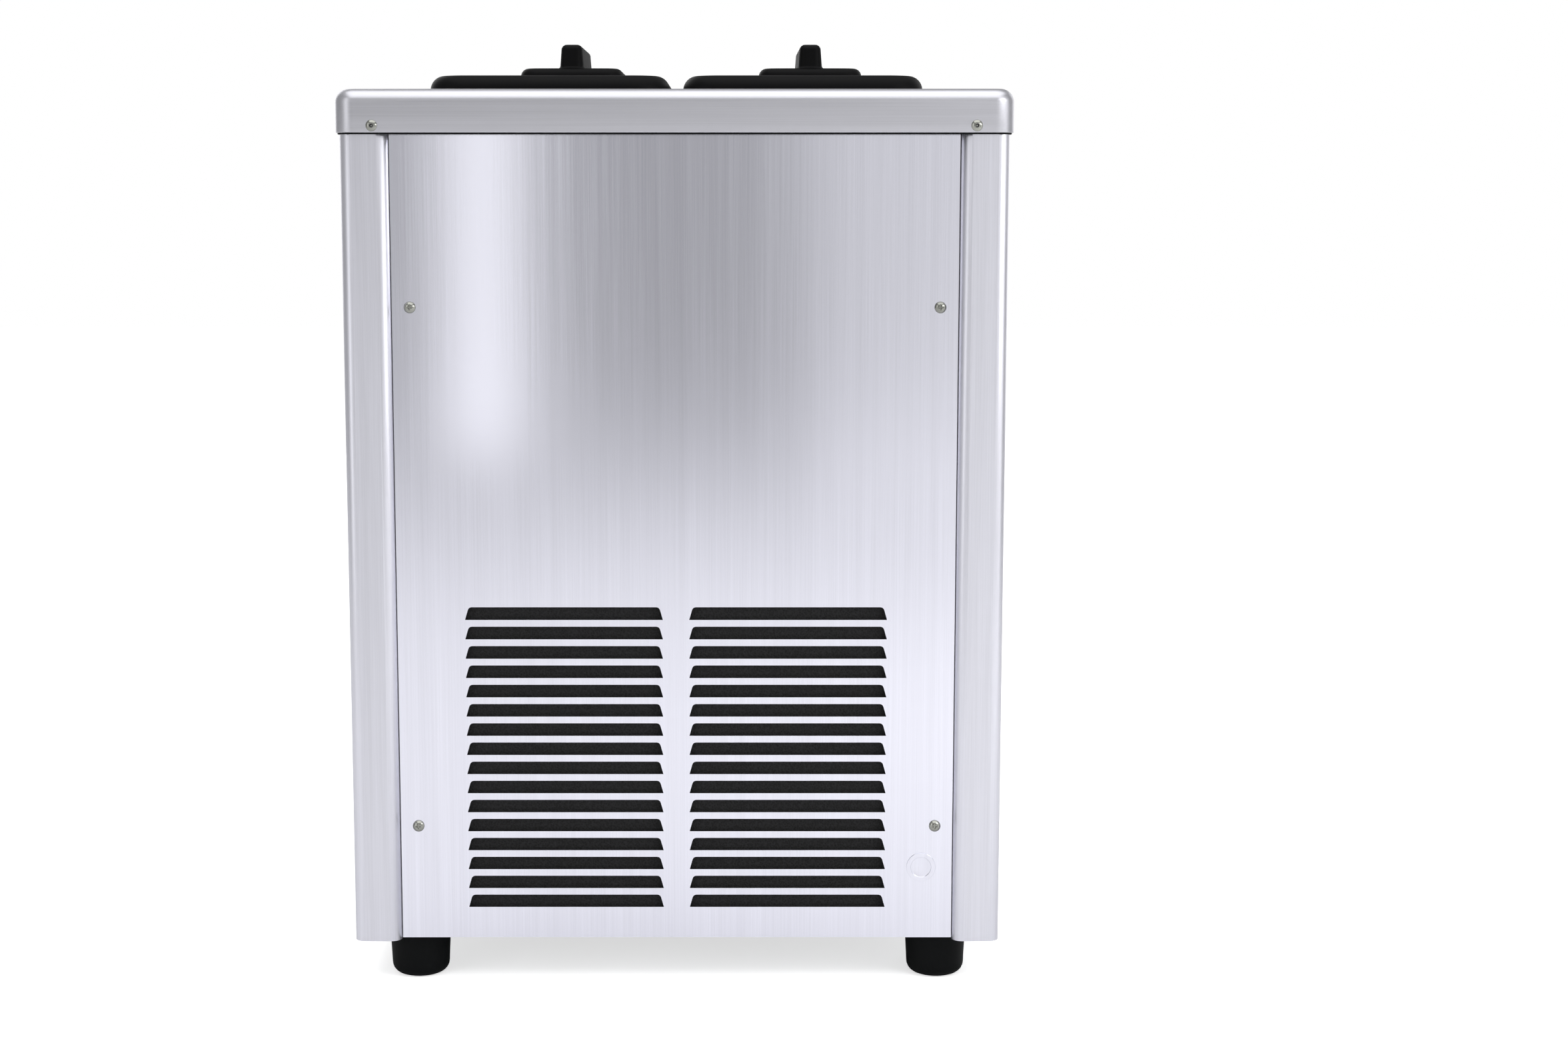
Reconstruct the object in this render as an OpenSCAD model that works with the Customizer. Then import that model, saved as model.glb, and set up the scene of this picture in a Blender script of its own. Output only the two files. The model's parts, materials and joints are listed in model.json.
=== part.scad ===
// Countertop soft-serve ice cream machine with two hoppers and a belt drive.
// Millimetres, +Z up. The dispensing front faces -Y and the louvred back faces +Y.
// The origin is on the worktop, under the middle of the whole machine.

/* [Cabinet] */
// Width of the top cover
cover_w = 540; // [536:1:560]
// Depth of the top cover
cover_d = 592; // [588:1:600]
// Height of the top cover's face above the worktop
cover_top = 734; // [730:1:745]
// Height of the top cover's apron
cover_apron = 34.5; // [30:0.5:40]
// Bend radius along the top edges of the cover
cover_bend = 10; // [8:1:12]
// How far the cover's apron stands out past the side panels
cover_lap = 3.5; // [3:0.5:5]
// Width of the rounded posts at the back corners
rear_post_w = 38.5; // [36:0.5:40]
// Width of the rounded posts at the front corners
front_post_w = 30; // [28:1:34]
// Bend radius of the posts
post_bend = 9; // [7:1:10]
// Thickness of the sheet steel
sheet = 1.2; // [1:0.1:1.2]

/* [Louvres] */
// Rows of louvres in the back panel
louvre_rows = 16; // [8:1:16]
// Distance from one louvre to the next
louvre_pitch = 16.1; // [15:0.1:16.5]
// Height of a louvre's opening
louvre_h = 10.5; // [7:0.1:11]
// Width of a louvre along its lower edge
louvre_w = 161.5; // [140:0.5:165]
// Gap between the two columns of louvres
louvre_gap = 21.5; // [18:0.5:30]
// Height of the lowest louvre's lower edge above the worktop
louvre_z = 65; // [60:1:80]

/* [Feet] */
// Height of the rubber feet
foot_h = 38; // [34:1:42]
// Radius of a foot at its top
foot_r = 25.5; // [22:0.5:26]
// Distance of the feet from the middle, along X
foot_x = 217; // [205:0.5:218]

/* [Hoppers and lids] */
// Distance of each hopper's middle from the machine's middle
hopper_x = 104; // [103:0.5:106]
// Inside width of a hopper
hopper_w = 168; // [160:1:168]
// Inside depth, front to back, of a hopper
hopper_d = 288; // [270:1:288]
// Width of a lid
lid_w = 197; // [193:0.5:200]
// Front to back size of a lid
lid_d = 313; // [313:1:316]
// Height of a lid's flat top above the cover
lid_h = 13; // [11.5:0.5:14]
// Width of the raised step on a lid
lid_step_w = 87; // [70:1:95]
// Width of a lid's handle at its foot
lid_handle_w = 20; // [18:1:26]
// Height of a lid's handle above its step
lid_handle_h = 20; // [15:0.5:24]
// Front to back length of a lid's handle
lid_handle_d = 134; // [100:1:140]
// Sideways offset of the step and handle on the left lid
left_handle_shift = -8; // [-15:0.5:0]
// Sideways offset of the step and handle on the right lid
right_handle_shift = -14; // [-15:0.5:0]

/* [Freezing and dispensing] */
// Inside radius of a freezing cylinder
barrel_r = 50; // [50:0.5:51]
// Height of the freezing cylinders' axes above the worktop
barrel_z = 505; // [503:1:507]
// Radius of a dispensing plunger
plunger_r = 10.9; // [10.7:0.05:10.95]
// Swing of a draw lever from shut to open, in degrees
lever_swing = 45; // [40:1:45]

/* [Hidden] */
$fn = 64;

half_depth = 370;            // from the origin to the back of the cover
rivet_rise = 1.64;           // how far a rivet's broken-off rim stands out
tray_front = -half_depth - rivet_rise;
body_w = cover_w - 2 * cover_lap;
body_back = half_depth - cover_lap + 0.5;
cover_front = half_depth - cover_d;
body_front = cover_front + cover_lap - 0.5;
body_bottom = foot_h;
body_top = cover_top - sheet - 4;
panel_back = body_back - 8;          // outer face of the back panel, set in from the posts
panel_front = body_front + 6;        // outer face of the front panel
panel_half_w = body_w / 2 - rear_post_w - 0.5;
front_half_w = body_w / 2 - front_post_w - 0.5;
foot_back_y = half_depth - 45;
foot_front_y = cover_front + 48;
foot_places = [for (x = [-foot_x, foot_x], y = [foot_front_y, foot_back_y]) [x, y]];
screw_x = 213;
screw_zs = [134, 561];
rivet_x = 239.5;
rivet_z = cover_top - cover_apron + 5.5;
hopper_y = 154;                      // middle of the hoppers along Y
hopper_wall = 1.5;
hopper_floor = 584;
flange_z = cover_top + 1;            // the hopper's flange lies on a 1 mm gasket
inlet_y = 40;                        // where a hopper's outlet drops into its cylinder
barrel_front = body_front;
barrel_back = 75;
barrel_wall = 2;
jacket_r = barrel_r + 8;
block_w = 360;
block_bottom = barrel_z - 68;
block_top = barrel_z + 68;
shelf_z = 236;
gearbox_y = 95;
gearbox_len = 58;
input_z = barrel_z - 50;             // axis of the gearbox's input pulley
motor_z = 300;
pulley_r = 50;
motor_pulley_r = 22;
belt_ys = [174, 186];                // planes of the left and the right belt
fan_z = 188;
fan_r = 104;
shroud_y = 262;
coil_y = 286;
head_back = body_front - 1;
head_t = 20;
head_front = head_back - head_t;
valve_y = head_front - 16;           // axis of the plungers
valve_r = 20;
valve_bottom = 404;
port_z = 466;                        // the ports that the plungers close
plunger_bottom = port_z - 14;
valve_top = 576;
valve_xs = [-hopper_x, 0, hopper_x];
lever_y = valve_y - 26;              // axis of the levers' pin
lever_z = 580;
pin_r = 4;
finger_len = 28;
finger_r = 4;
finger_dip = lever_swing / 2;
window_z = lever_z - finger_len * sin(finger_dip);
knob_places = [for (x = [-148, 148], z = [458, 552]) [x, z]];
tray_z = 190;
tray_back = body_front - 5;
fascia_z = 652;
fascia_t = 4;
button_xs = [40, 80, 120];
button_r = 9;
rocker_x = 170;

// A box given by its lowest and highest corners.
module block(low, high) {
    translate(low) cube(high - low);
}

// A rectangle with round corners, centred on the origin.
module round_rect(w, d, r) {
    square([w - 2 * r, d], center = true);
    square([w, d - 2 * r], center = true);
    for (x = [-1, 1], y = [-1, 1]) translate([x * (w / 2 - r), y * (d / 2 - r)]) circle(r);
}

// A rounded rectangle raised from z to z + h.
module round_slab(w, d, r, z, h) {
    translate([0, 0, z]) linear_extrude(h) round_rect(w, d, r);
}

// A slab whose top edge is rounded over by `edge`; its sides may lean in by `draft`.
module domed_slab(w, d, h, corner, edge, draft = 0) {
    hull() {
        for (x = [-1, 1], y = [-1, 1]) {
            translate([x * (w / 2 - corner), y * (d / 2 - corner), 0])
                cylinder(r = corner, h = 0.1, $fn = 32);
            for (a = [0:18:90])
                translate([x * (w / 2 - corner - draft), y * (d / 2 - corner - draft),
                           h - edge + edge * sin(a) - 0.1])
                    cylinder(r = max(corner - edge + edge * cos(a), 0.5), h = 0.1, $fn = 32);
        }
    }
}

// A cylinder along Y, from y0 to y1, about [x, z].
module rod_y(x, z, r, y0, y1) {
    translate([x, y1, z]) rotate([90, 0, 0]) cylinder(r = r, h = y1 - y0);
}

// A ring along Y.
module ring_y(x, z, r_out, r_in, y0, y1) {
    difference() {
        rod_y(x, z, r_out, y0, y1);
        rod_y(x, z, r_in, y0 - 1, y1 + 1);
    }
}

// A cylinder along X, from x0 to x1, about [y, z].
module rod_x(y, z, r, x0, x1) {
    translate([x0, y, z]) rotate([0, 90, 0]) cylinder(r = r, h = x1 - x0);
}

// A copy on each side of the machine's middle.
module both_sides() {
    children();
    mirror([1, 0, 0]) children();
}

// A copy at each foot.
module at_feet() {
    for (p = foot_places) translate([p[0], p[1], 0]) children();
}

// ---------------------------------------------------------------- cabinet

module base_pan() {
    pan_x = body_w / 2 - 4.5;
    color("silver") difference() {
        union() {
            block([-pan_x, body_front + 21, body_bottom], [pan_x, panel_back - 14, body_bottom + 2]);
            block([-panel_half_w, panel_back - 15, body_bottom],
                  [panel_half_w, panel_back - 5, body_bottom + 2]);
            both_sides()
                block([pan_x - 1.5, body_front + 21, body_bottom],
                      [pan_x, panel_back - 14, body_bottom + 24]);
            block([-180, body_front + 21, body_bottom], [180, body_front + 22.5, body_bottom + 24]);
        }
        at_feet() translate([0, 0, body_bottom - 1]) cylinder(r = 4.3, h = 4);
        for (y = [-120:24:0])
            block([-50, y, body_bottom - 1], [50, y + 8, body_bottom + 3]);
    }
}

// One corner upright of the chassis: an angle that the panels screw to.
module upright(x_outer, leg_w, y_face, into, reach) {
    low = min(y_face, y_face + into * 2);
    deep = min(y_face, y_face + into * reach);
    block([x_outer - leg_w, low, body_bottom + 2], [x_outer, low + 2, cover_top - 8]);
    block([x_outer - 2, deep, body_bottom + 2], [x_outer, deep + reach, cover_top - 8]);
}

module chassis_frame() {
    rear_x = panel_half_w - 0.2;
    front_x = front_half_w - 0.2;
    rear_face = panel_back - sheet - 0.2;
    front_face = panel_front + sheet + 0.2;
    beam_low = block_bottom - 12;
    color("gray") difference() {
        both_sides() {
            upright(rear_x, 26, rear_face, -1, 36);
            upright(front_x, 26, front_face, 1, 36);
            block([rear_x - 12, front_face + 30, beam_low], [front_x, rear_face - 30, block_bottom]);
            for (y = [-150, 20]) block([-0.1, y, beam_low], [rear_x, y + 14, block_bottom]);
            block([-0.1, front_face, shelf_z], [front_x, 236, shelf_z + 2]);
            block([front_x - 2, front_face + 30, shelf_z - 14], [front_x, 236, shelf_z + 2]);
        }
        for (s = [-1, 1], z = screw_zs) rod_y(s * screw_x, z, 2.6, rear_face - 10, rear_face + 10);
        rod_y(-202, 99, 12.5, rear_face - 10, rear_face + 10);
        translate([100, -40, shelf_z - 2]) cylinder(r = 9, h = 8);
    }
}

// Plan outline of a side panel's sheet, for the +X side: a wall with rounded posts at both ends.
module side_outline(inset) {
    x1 = body_w / 2 - inset;
    y0 = body_front + inset;
    y1 = body_back - inset;
    r = post_bend - inset;
    x_back = body_w / 2 - rear_post_w + inset;
    x_front = body_w / 2 - front_post_w + inset;
    union() {
        translate([x_front + r, y0]) square([x1 - x_front - 2 * r, 30]);
        translate([x_front, y0 + r]) square([x1 - x_front, 30]);
        translate([x_back + r, y1 - 30]) square([x1 - x_back - 2 * r, 30]);
        translate([x_back, y1 - r - 30]) square([x1 - x_back, 30]);
        translate([x_front, y0 + r]) square([x1 - x_front, y1 - y0 - 2 * r]);
        translate([x_front + r, y0 + r]) circle(r);
        translate([x1 - r, y0 + r]) circle(r);
        translate([x_back + r, y1 - r]) circle(r);
        translate([x1 - r, y1 - r]) circle(r);
    }
}

module side_panel(s) {
    open_x = body_w / 2 - 10;
    open_from = panel_half_w - 5;
    color("gainsboro") mirror([s < 0 ? 1 : 0, 0, 0]) difference() {
        translate([0, 0, body_bottom]) linear_extrude(body_top - body_bottom) difference() {
            side_outline(0);
            side_outline(sheet);
            translate([open_from, body_front + 16])
                square([open_x - open_from, body_back - body_front - 32]);
        }
        for (z = [100:louvre_pitch:100 + 11.5 * louvre_pitch])
            block([body_w / 2 - 3, 60, z], [body_w / 2 + 1, 220, z + louvre_h]);
        rod_y(rivet_x, rivet_z, 2.5, body_front - 1, body_front + 5);
        rod_y(rivet_x, rivet_z, 2.5, body_back - 5, body_back + 1);
    }
}

// A louvre's opening seen from behind: straight lower edge, leaning ends, round upper corners.
module louvre_outline() {
    lean = 2.2;
    r = 3.2;
    top_half = louvre_w / 2 - lean;
    points = concat(
        [[-louvre_w / 2, 0], [louvre_w / 2, 0]],
        [for (a = [15:25:90]) [top_half - r + r * cos(a), louvre_h - r + r * sin(a)]],
        [for (a = [90:25:165]) [-top_half + r + r * cos(a), louvre_h - r + r * sin(a)]]);
    polygon(points);
}

module rear_panel() {
    t = sheet;
    color("gainsboro") difference() {
        union() {
            block([-panel_half_w, panel_back - t, body_bottom + 1],
                  [panel_half_w, panel_back, body_top - 10]);
            // Each louvre's tab is turned in along its upper edge, level, as a drip edge.
            for (row = [0:louvre_rows - 1], z = [louvre_z + row * louvre_pitch + louvre_h])
                both_sides()
                    block([louvre_gap / 2 + 6, panel_back - 4.5, z],
                          [louvre_gap / 2 + louvre_w - 6, panel_back - t / 2, z + 1]);
        }
        for (row = [0:louvre_rows - 1], s = [-1, 1])
            translate([s * (louvre_gap + louvre_w) / 2, panel_back + 1, louvre_z + row * louvre_pitch])
                rotate([90, 0, 0]) linear_extrude(t + 2) louvre_outline();
        for (s = [-1, 1], z = screw_zs) rod_y(s * screw_x, z, 2.7, panel_back - 5, panel_back + 5);
        rod_y(-202, 99, 10.1, panel_back - 5, panel_back + 5);
    }
}

module rear_panel_screws() {
    color("dimgray") for (s = [-1, 1], z = screw_zs) difference() {
        union() {
            rod_y(s * screw_x, z, 2.4, panel_back - 14, panel_back + 1);
            translate([s * screw_x, panel_back, z]) rotate([-90, 0, 0]) intersection() {
                cylinder(r = 4.75, h = 3.2);
                translate([0, 0, -3]) sphere(r = 6.2);
            }
        }
        for (a = [0, 90]) translate([s * screw_x, panel_back + 3, z]) rotate([0, a, 0])
            cube([4.2, 3, 1], center = true);
    }
}

// A slab with a round-cornered plan, its top edges rolled over with radius `edge`.
module rolled_slab(w, d, h, corner, edge) {
    intersection() {
        linear_extrude(h) round_rect(w, d, corner);
        translate([0, d, 0]) rotate([90, 0, 0]) linear_extrude(2 * d) rolled_profile(w, h, edge);
        rotate([90, 0, 90]) translate([0, 0, -w]) linear_extrude(2 * w) rolled_profile(d, h, edge);
    }
}

// An upright rectangle on the X axis, with its two upper corners rounded.
module rolled_profile(w, h, r) {
    translate([-w / 2, -1]) square([w, h - r + 1]);
    translate([-w / 2 + r, -1]) square([w - 2 * r, h + 1]);
    for (x = [-1, 1]) translate([x * (w / 2 - r), h - r]) circle(r);
}

module top_cover() {
    centre_y = half_depth - cover_d / 2;
    low = cover_top - cover_apron;
    color("silver") difference() {
        translate([0, centre_y, low]) rolled_slab(cover_w, cover_d, cover_apron, 16, cover_bend);
        translate([0, centre_y, low - 0.5])
            rolled_slab(cover_w - 2 * sheet, cover_d - 2 * sheet, cover_apron + 0.5 - sheet,
                        16 - sheet, cover_bend - sheet);
        for (s = [-1, 1]) translate([s * hopper_x, hopper_y, 0])
            round_slab(hopper_w + 2 * hopper_wall + 2, hopper_d + 2 * hopper_wall + 2,
                       23, cover_top - 5, 10);
        for (s = [-1, 1], y = [cover_front, half_depth]) rod_y(s * rivet_x, rivet_z, 2.5, y - 5, y + 5);
    }
}

// A domed blind rivet whose stem has broken off below its face; it points along +Y.
module rivet() {
    rotate([-90, 0, 0]) difference() {
        union() {
            translate([0, 0, -4]) cylinder(r = 2.4, h = 4.5);
            intersection() {
                cylinder(r = 4.8, h = 2);
                translate([0, 0, -5.2]) sphere(r = 7);
            }
        }
        translate([0, 0, 0.6]) cylinder(r = 1.5, h = 3);
    }
}

module cover_rivets() {
    color("silver") for (s = [-1, 1]) {
        translate([s * rivet_x, half_depth, rivet_z]) rivet();
        translate([s * rivet_x, cover_front, rivet_z]) rotate([0, 0, 180]) rivet();
    }
}

module front_panel() {
    t = sheet;
    shelf_x = 176;
    color("gainsboro") difference() {
        union() {
            block([-front_half_w, panel_front, body_bottom + 1],
                  [front_half_w, panel_front + t, body_top - 10]);
            block([-shelf_x, tray_front + 8, tray_z - 6], [shelf_x, panel_front + 0.5, tray_z - 4]);
            for (s = [-1, 1])
                block([s * shelf_x - 0.75, tray_front + 8, tray_z - 6],
                      [s * shelf_x + 0.75, panel_front + 0.5, tray_z + 8]);
        }
        for (s = [-1, 1]) rod_y(s * hopper_x, barrel_z, barrel_r + 11, panel_front - 5, panel_front + 5);
        for (p = knob_places) rod_y(p[0], p[1], 5, panel_front - 5, panel_front + 5);
        block([rocker_x - 6, panel_front - 1, fascia_z - 8], [rocker_x + 6, panel_front + 5, fascia_z + 8]);
    }
}

module air_filter() {
    half_w = louvre_gap / 2 + louvre_w + 8;
    high = louvre_z + louvre_rows * louvre_pitch + 2;
    color("black") block([-half_w, panel_back - 13, louvre_z - 9], [half_w, panel_back - 5, high]);
}

module cord_gland() {
    color("whitesmoke") {
        difference() {
            union() {
                rod_y(-202, 99, 12, panel_back, panel_back + 0.8);
                rod_y(-202, 99, 10, panel_back - 4, panel_back + 0.4);
            }
            rod_y(-202, 99, 8.4, panel_back + 0.1, panel_back + 2);
        }
    }
}

// ---------------------------------------------------------------- feet

module feet() {
    round_r = 9;
    low_r = foot_r - 1.5;
    profile = concat(
        [[8, 0]],
        [for (a = [-90:15:0]) [low_r - round_r + round_r * cos(a), round_r + round_r * sin(a)]],
        [[foot_r, foot_h], [4.3, foot_h], [4.3, 16], [8, 16]]);
    color([0.07, 0.07, 0.08]) at_feet() rotate_extrude() polygon(profile);
}

module foot_bolts() {
    color("silver") at_feet() {
        translate([0, 0, 9.5]) cylinder(r = 7.5, h = 6.5, $fn = 6);
        translate([0, 0, 15]) cylinder(r = 4, h = body_bottom - 8);
        translate([0, 0, body_bottom + 2]) cylinder(r = 7.5, h = 6, $fn = 6);
    }
}

// ---------------------------------------------------------------- hoppers and lids

module hopper(s) {
    out_w = hopper_w + 2 * hopper_wall;
    out_d = hopper_d + 2 * hopper_wall;
    color("silver") translate([s * hopper_x, hopper_y, 0]) difference() {
        union() {
            round_slab(out_w, out_d, 22, hopper_floor, flange_z - hopper_floor);
            round_slab(hopper_w + 18, hopper_d + 18, 28, flange_z, 1.5);
            translate([0, inlet_y - hopper_y, barrel_z + barrel_r + 4]) cylinder(r = 12.5, h = 40);
        }
        round_slab(hopper_w, hopper_d, 20.5, hopper_floor + hopper_wall, 200);
        translate([0, inlet_y - hopper_y, 500]) cylinder(r = 10, h = 100);
    }
}

module lid(s) {
    base_z = cover_top + 0.4;
    top_z = cover_top + lid_h;
    step_h = 9;
    step_d = 150;
    shift = s < 0 ? left_handle_shift : right_handle_shift;
    color([0.06, 0.06, 0.065]) translate([s * hopper_x, hopper_y, 0]) difference() {
        union() {
            translate([0, 0, base_z]) domed_slab(lid_w, lid_d, top_z - base_z, 30, 11);
            translate([shift, 0, top_z - 0.5])
                domed_slab(lid_step_w, step_d, step_h + 0.5, 16, 7);
            translate([shift, 0, top_z + step_h - 0.5])
                domed_slab(lid_handle_w, lid_handle_d, lid_handle_h + 0.5, 6, 4.5, 1);
            difference() {
                round_slab(hopper_w - 4, hopper_d - 4, 18, cover_top - 7, lid_h + 3);
                round_slab(hopper_w - 8, hopper_d - 8, 16, cover_top - 8, lid_h + 5);
            }
        }
        difference() {
            round_slab(hopper_w + 20.5, hopper_d + 20.5, 29, cover_top - 1, flange_z - cover_top + 2.7);
            round_slab(hopper_w - 4, hopper_d - 4, 18, cover_top - 2, 10);
        }
        round_slab(hopper_w - 8, hopper_d - 8, 16, cover_top - 8, lid_h + 8 - 2.5);
        translate([shift, 0, 0])
            round_slab(lid_step_w - 16, step_d - 16, 10, top_z - 5, step_h + 2);
    }
}

module feed_tube(s) {
    color("lightgray") translate([s * hopper_x, inlet_y, 0]) difference() {
        union() {
            translate([0, 0, hopper_floor - 18]) cylinder(r = 9.8, h = 20);
            translate([0, 0, hopper_floor + 1.6]) cylinder(r = 13, h = 3);
            translate([0, 0, hopper_floor + 4]) cylinder(r = 9, h = 126);
        }
        translate([0, 0, hopper_floor - 20]) cylinder(r = 6, h = 160);
        rod_x(0, hopper_floor + 12, 3, -20, 20);
    }
}

// ---------------------------------------------------------------- freezing cylinders

module cylinder_barrel(s) {
    x = s * hopper_x;
    color("silver") difference() {
        union() {
            rod_y(x, barrel_z, barrel_r + barrel_wall, barrel_front, barrel_back);
            rod_y(x, barrel_z, barrel_r + 9, barrel_front, barrel_front + 5);
            rod_y(x, barrel_z, 22, barrel_back - 1, gearbox_y);
        }
        rod_y(x, barrel_z, barrel_r, barrel_front - 1, barrel_back - 4);
        rod_y(x, barrel_z, 10.05, barrel_back - 10, gearbox_y + 1);
        translate([x, inlet_y, barrel_z]) cylinder(r = 10, h = 100);
    }
}

module evaporator_jackets() {
    color("chocolate") for (s = [-1, 1]) difference() {
        ring_y(s * hopper_x, barrel_z, jacket_r - 0.1, barrel_r + barrel_wall + 0.1, -198, 60);
        translate([s * hopper_x, inlet_y, barrel_z]) cylinder(r = 13, h = 100);
    }
}

module cylinder_insulation() {
    color("wheat") difference() {
        block([-block_w / 2, -200, block_bottom], [block_w / 2, 62, block_top]);
        for (s = [-1, 1]) {
            rod_y(s * hopper_x, barrel_z, jacket_r, -210, 70);
            translate([s * hopper_x, inlet_y, barrel_z]) cylinder(r = 13, h = 100);
        }
    }
}

// Shaft and twin ribbon, turned about the cylinder's axis, that push the ice cream forwards.
module beater(s) {
    x = s * hopper_x;
    back = 58;
    front = -198;
    color("silver") union() {
        rod_y(x, barrel_z, 8, front, back + 8);
        rod_y(x, barrel_z, 14, back - 2, back + 8);
        translate([x, back, barrel_z]) rotate([90, 0, 0])
            linear_extrude(height = back - front - 6, twist = s * 540, slices = 54, $fn = 24)
                square([74, 4], center = true);
        for (y = [-180, -70, 40], side = [-1, 1])
            translate([x, y, barrel_z]) rotate([0, 90 + side * 90, 0]) cylinder(r = 3, h = 41);
    }
}

// Two plastic blades held on the beater's posts, running just off the cylinder wall.
module scrapers(s) {
    color("white") for (side = [-1, 1]) translate([s * hopper_x, 0, barrel_z])
        block([-2.5, -192, side > 0 ? 41 : -49], [2.5, 52, side > 0 ? 49 : -41]);
}

module drive_shaft(s) {
    color("gray") union() {
        rod_y(s * hopper_x, barrel_z, 10, 70, gearbox_y + 20);
        rod_y(s * hopper_x, barrel_z, 6, 66.2, 71);
    }
}

// ---------------------------------------------------------------- drive

module gearboxes() {
    color("slategray") for (x = [-hopper_x, hopper_x]) difference() {
        union() {
            block([x - 44, gearbox_y, input_z - 34], [x + 44, gearbox_y + gearbox_len, barrel_z + 36]);
            rod_y(x, input_z, 18, gearbox_y + gearbox_len, gearbox_y + gearbox_len + 8);
        }
        rod_y(x, barrel_z, 10.05, gearbox_y - 1, gearbox_y + 22);
        rod_y(x, input_z, 7.05, gearbox_y + 20, gearbox_y + gearbox_len + 20);
    }
}

// A grooved pulley on the plane y; the belt lies between its two flanges.
module grooved_pulley(x, z, r, y, shaft_r, shaft_from) {
    rod_y(x, z, r - 4, y - 5, y + 5);
    for (side = [-5, 3.5]) rod_y(x, z, r + 3, y + side, y + side + 1.5);
    rod_y(x, z, shaft_r, shaft_from, y);
}

module gearbox_pulley(s) {
    y = s < 0 ? belt_ys[0] : belt_ys[1];
    color("dimgray") grooved_pulley(s * hopper_x, input_z, pulley_r, y, 7, gearbox_y + 22);
}

module drive_motor() {
    color("steelblue") difference() {
        union() {
            rod_y(0, motor_z, 58, 10, 150);
            rod_y(0, motor_z, 40, 150, 158);
            for (x = [-36, 26]) block([x, 24, shelf_z + 2], [x + 10, 136, motor_z - 30]);
            block([28, 50, motor_z + 40], [70, 110, motor_z + 74]);
        }
        rod_y(0, motor_z, 8.05, 100, 200);
    }
}

module motor_pulley() {
    color("dimgray") {
        rod_y(0, motor_z, 8, 102, 196);
        for (y = belt_ys) grooved_pulley(0, motor_z, motor_pulley_r, y, 8, y - 5);
    }
}

module belt(s) {
    y = s < 0 ? belt_ys[0] : belt_ys[1];
    color([0.12, 0.12, 0.12]) translate([0, y + 3, 0]) rotate([90, 0, 0]) linear_extrude(6) difference() {
        hull() {
            translate([s * hopper_x, input_z]) circle(pulley_r + 2);
            translate([0, motor_z]) circle(motor_pulley_r + 2);
        }
        hull() {
            translate([s * hopper_x, input_z]) circle(pulley_r - 3.4);
            translate([0, motor_z]) circle(motor_pulley_r - 3.4);
        }
    }
}

module drive_belts() {
    for (s = [-1, 1]) belt(s);
}

// ---------------------------------------------------------------- refrigeration

module compressor() {
    x = 112;
    y = 20;
    color([0.1, 0.1, 0.1]) translate([x, y, 0]) union() {
        translate([0, 0, body_bottom + 14]) cylinder(r = 76, h = 110);
        translate([0, 0, body_bottom + 124]) cylinder(r1 = 76, r2 = 58, h = 22);
        translate([0, 0, body_bottom + 146]) cylinder(r1 = 58, r2 = 20, h = 10);
        block([-94, -94, body_bottom + 12], [94, 94, body_bottom + 15]);
        for (a = [-84, 84], b = [-84, 84]) translate([a, b, body_bottom + 2]) cylinder(r = 9, h = 10.5);
        block([-95, -25, body_bottom + 50], [-70, 25, body_bottom + 100]);
    }
}

module condenser_coil() {
    half_w = 168;
    low = louvre_z - 10;
    high = louvre_z + 248;
    color("peru") union() {
        for (s = [-1, 1]) block([s * half_w - 1.5, coil_y, low], [s * half_w + 1.5, coil_y + 56, high]);
        for (z = [low + 14:26:high - 8], y = [coil_y + 14, coil_y + 42]) rod_x(y, z, 5, -half_w, half_w);
        for (x = [-160:16:160]) block([x - 0.5, coil_y + 2, low], [x + 0.5, coil_y + 54, high]);
    }
}

module fan_shroud() {
    color("darkgray") difference() {
        block([-165, shroud_y, louvre_z - 8], [165, coil_y - 1, louvre_z + 246]);
        block([-162, shroud_y + 2, louvre_z - 5], [162, coil_y + 1, louvre_z + 243]);
        rod_y(0, fan_z, fan_r + 6, shroud_y - 5, shroud_y + 5);
    }
}

module fan_motor() {
    color("silver") difference() {
        union() {
            rod_y(0, fan_z, 34, 176, 226);
            for (a = [-45, 45])
                translate([0, 180, fan_z]) rotate([0, a, 0]) block([-130, 0, -6], [130, 3, 6]);
            for (sx = [-1, 1], sz = [-1, 1])
                rod_y(sx * 87, fan_z + sz * 87, 5, 183, shroud_y);
        }
        rod_y(0, fan_z, 5.05, 200, 240);
        block([-200, 170, shelf_z - 1], [200, 260, shelf_z + 80]);
        block([-200, 170, 0], [200, 260, body_bottom + 26]);
    }
}

module fan_blades() {
    color([0.15, 0.15, 0.16]) union() {
        rod_y(0, fan_z, 5, 202, 244);
        rod_y(0, fan_z, 26, 236, 258);
        for (a = [0:72:288]) translate([0, 247, fan_z]) rotate([0, a, 0])
            translate([22, 0, 0]) rotate([28, 0, 0]) block([0, -1, -20], [74, 1, 20]);
    }
}

// A pipe through the points, with a ball at each corner.
module pipe(points, r) {
    for (i = [0:len(points) - 2]) {
        step = points[i + 1] - points[i];
        length = norm(step);
        translate(points[i])
            rotate([0, acos(step[2] / length), atan2(step[1], step[0])])
                cylinder(r = r, h = length);
        if (i > 0) translate(points[i]) sphere(r = r);
    }
}

module refrigerant_lines() {
    top = body_bottom + 158;
    color("sienna") {
        pipe([[100, -40, body_bottom + 144], [100, -40, block_bottom]], 5);
        pipe([[150, 60, body_bottom + 140], [150, 60, top], [190, 60, top],
              [190, 314, top], [170, 314, top]], 4);
    }
}

module control_box() {
    color("gainsboro") difference() {
        block([-226, -190, shelf_z + 2], [-84, -10, shelf_z + 150]);
        block([-224, -191, shelf_z + 4], [-86, -14, shelf_z + 148]);
    }
}

// ---------------------------------------------------------------- dispensing head

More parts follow.
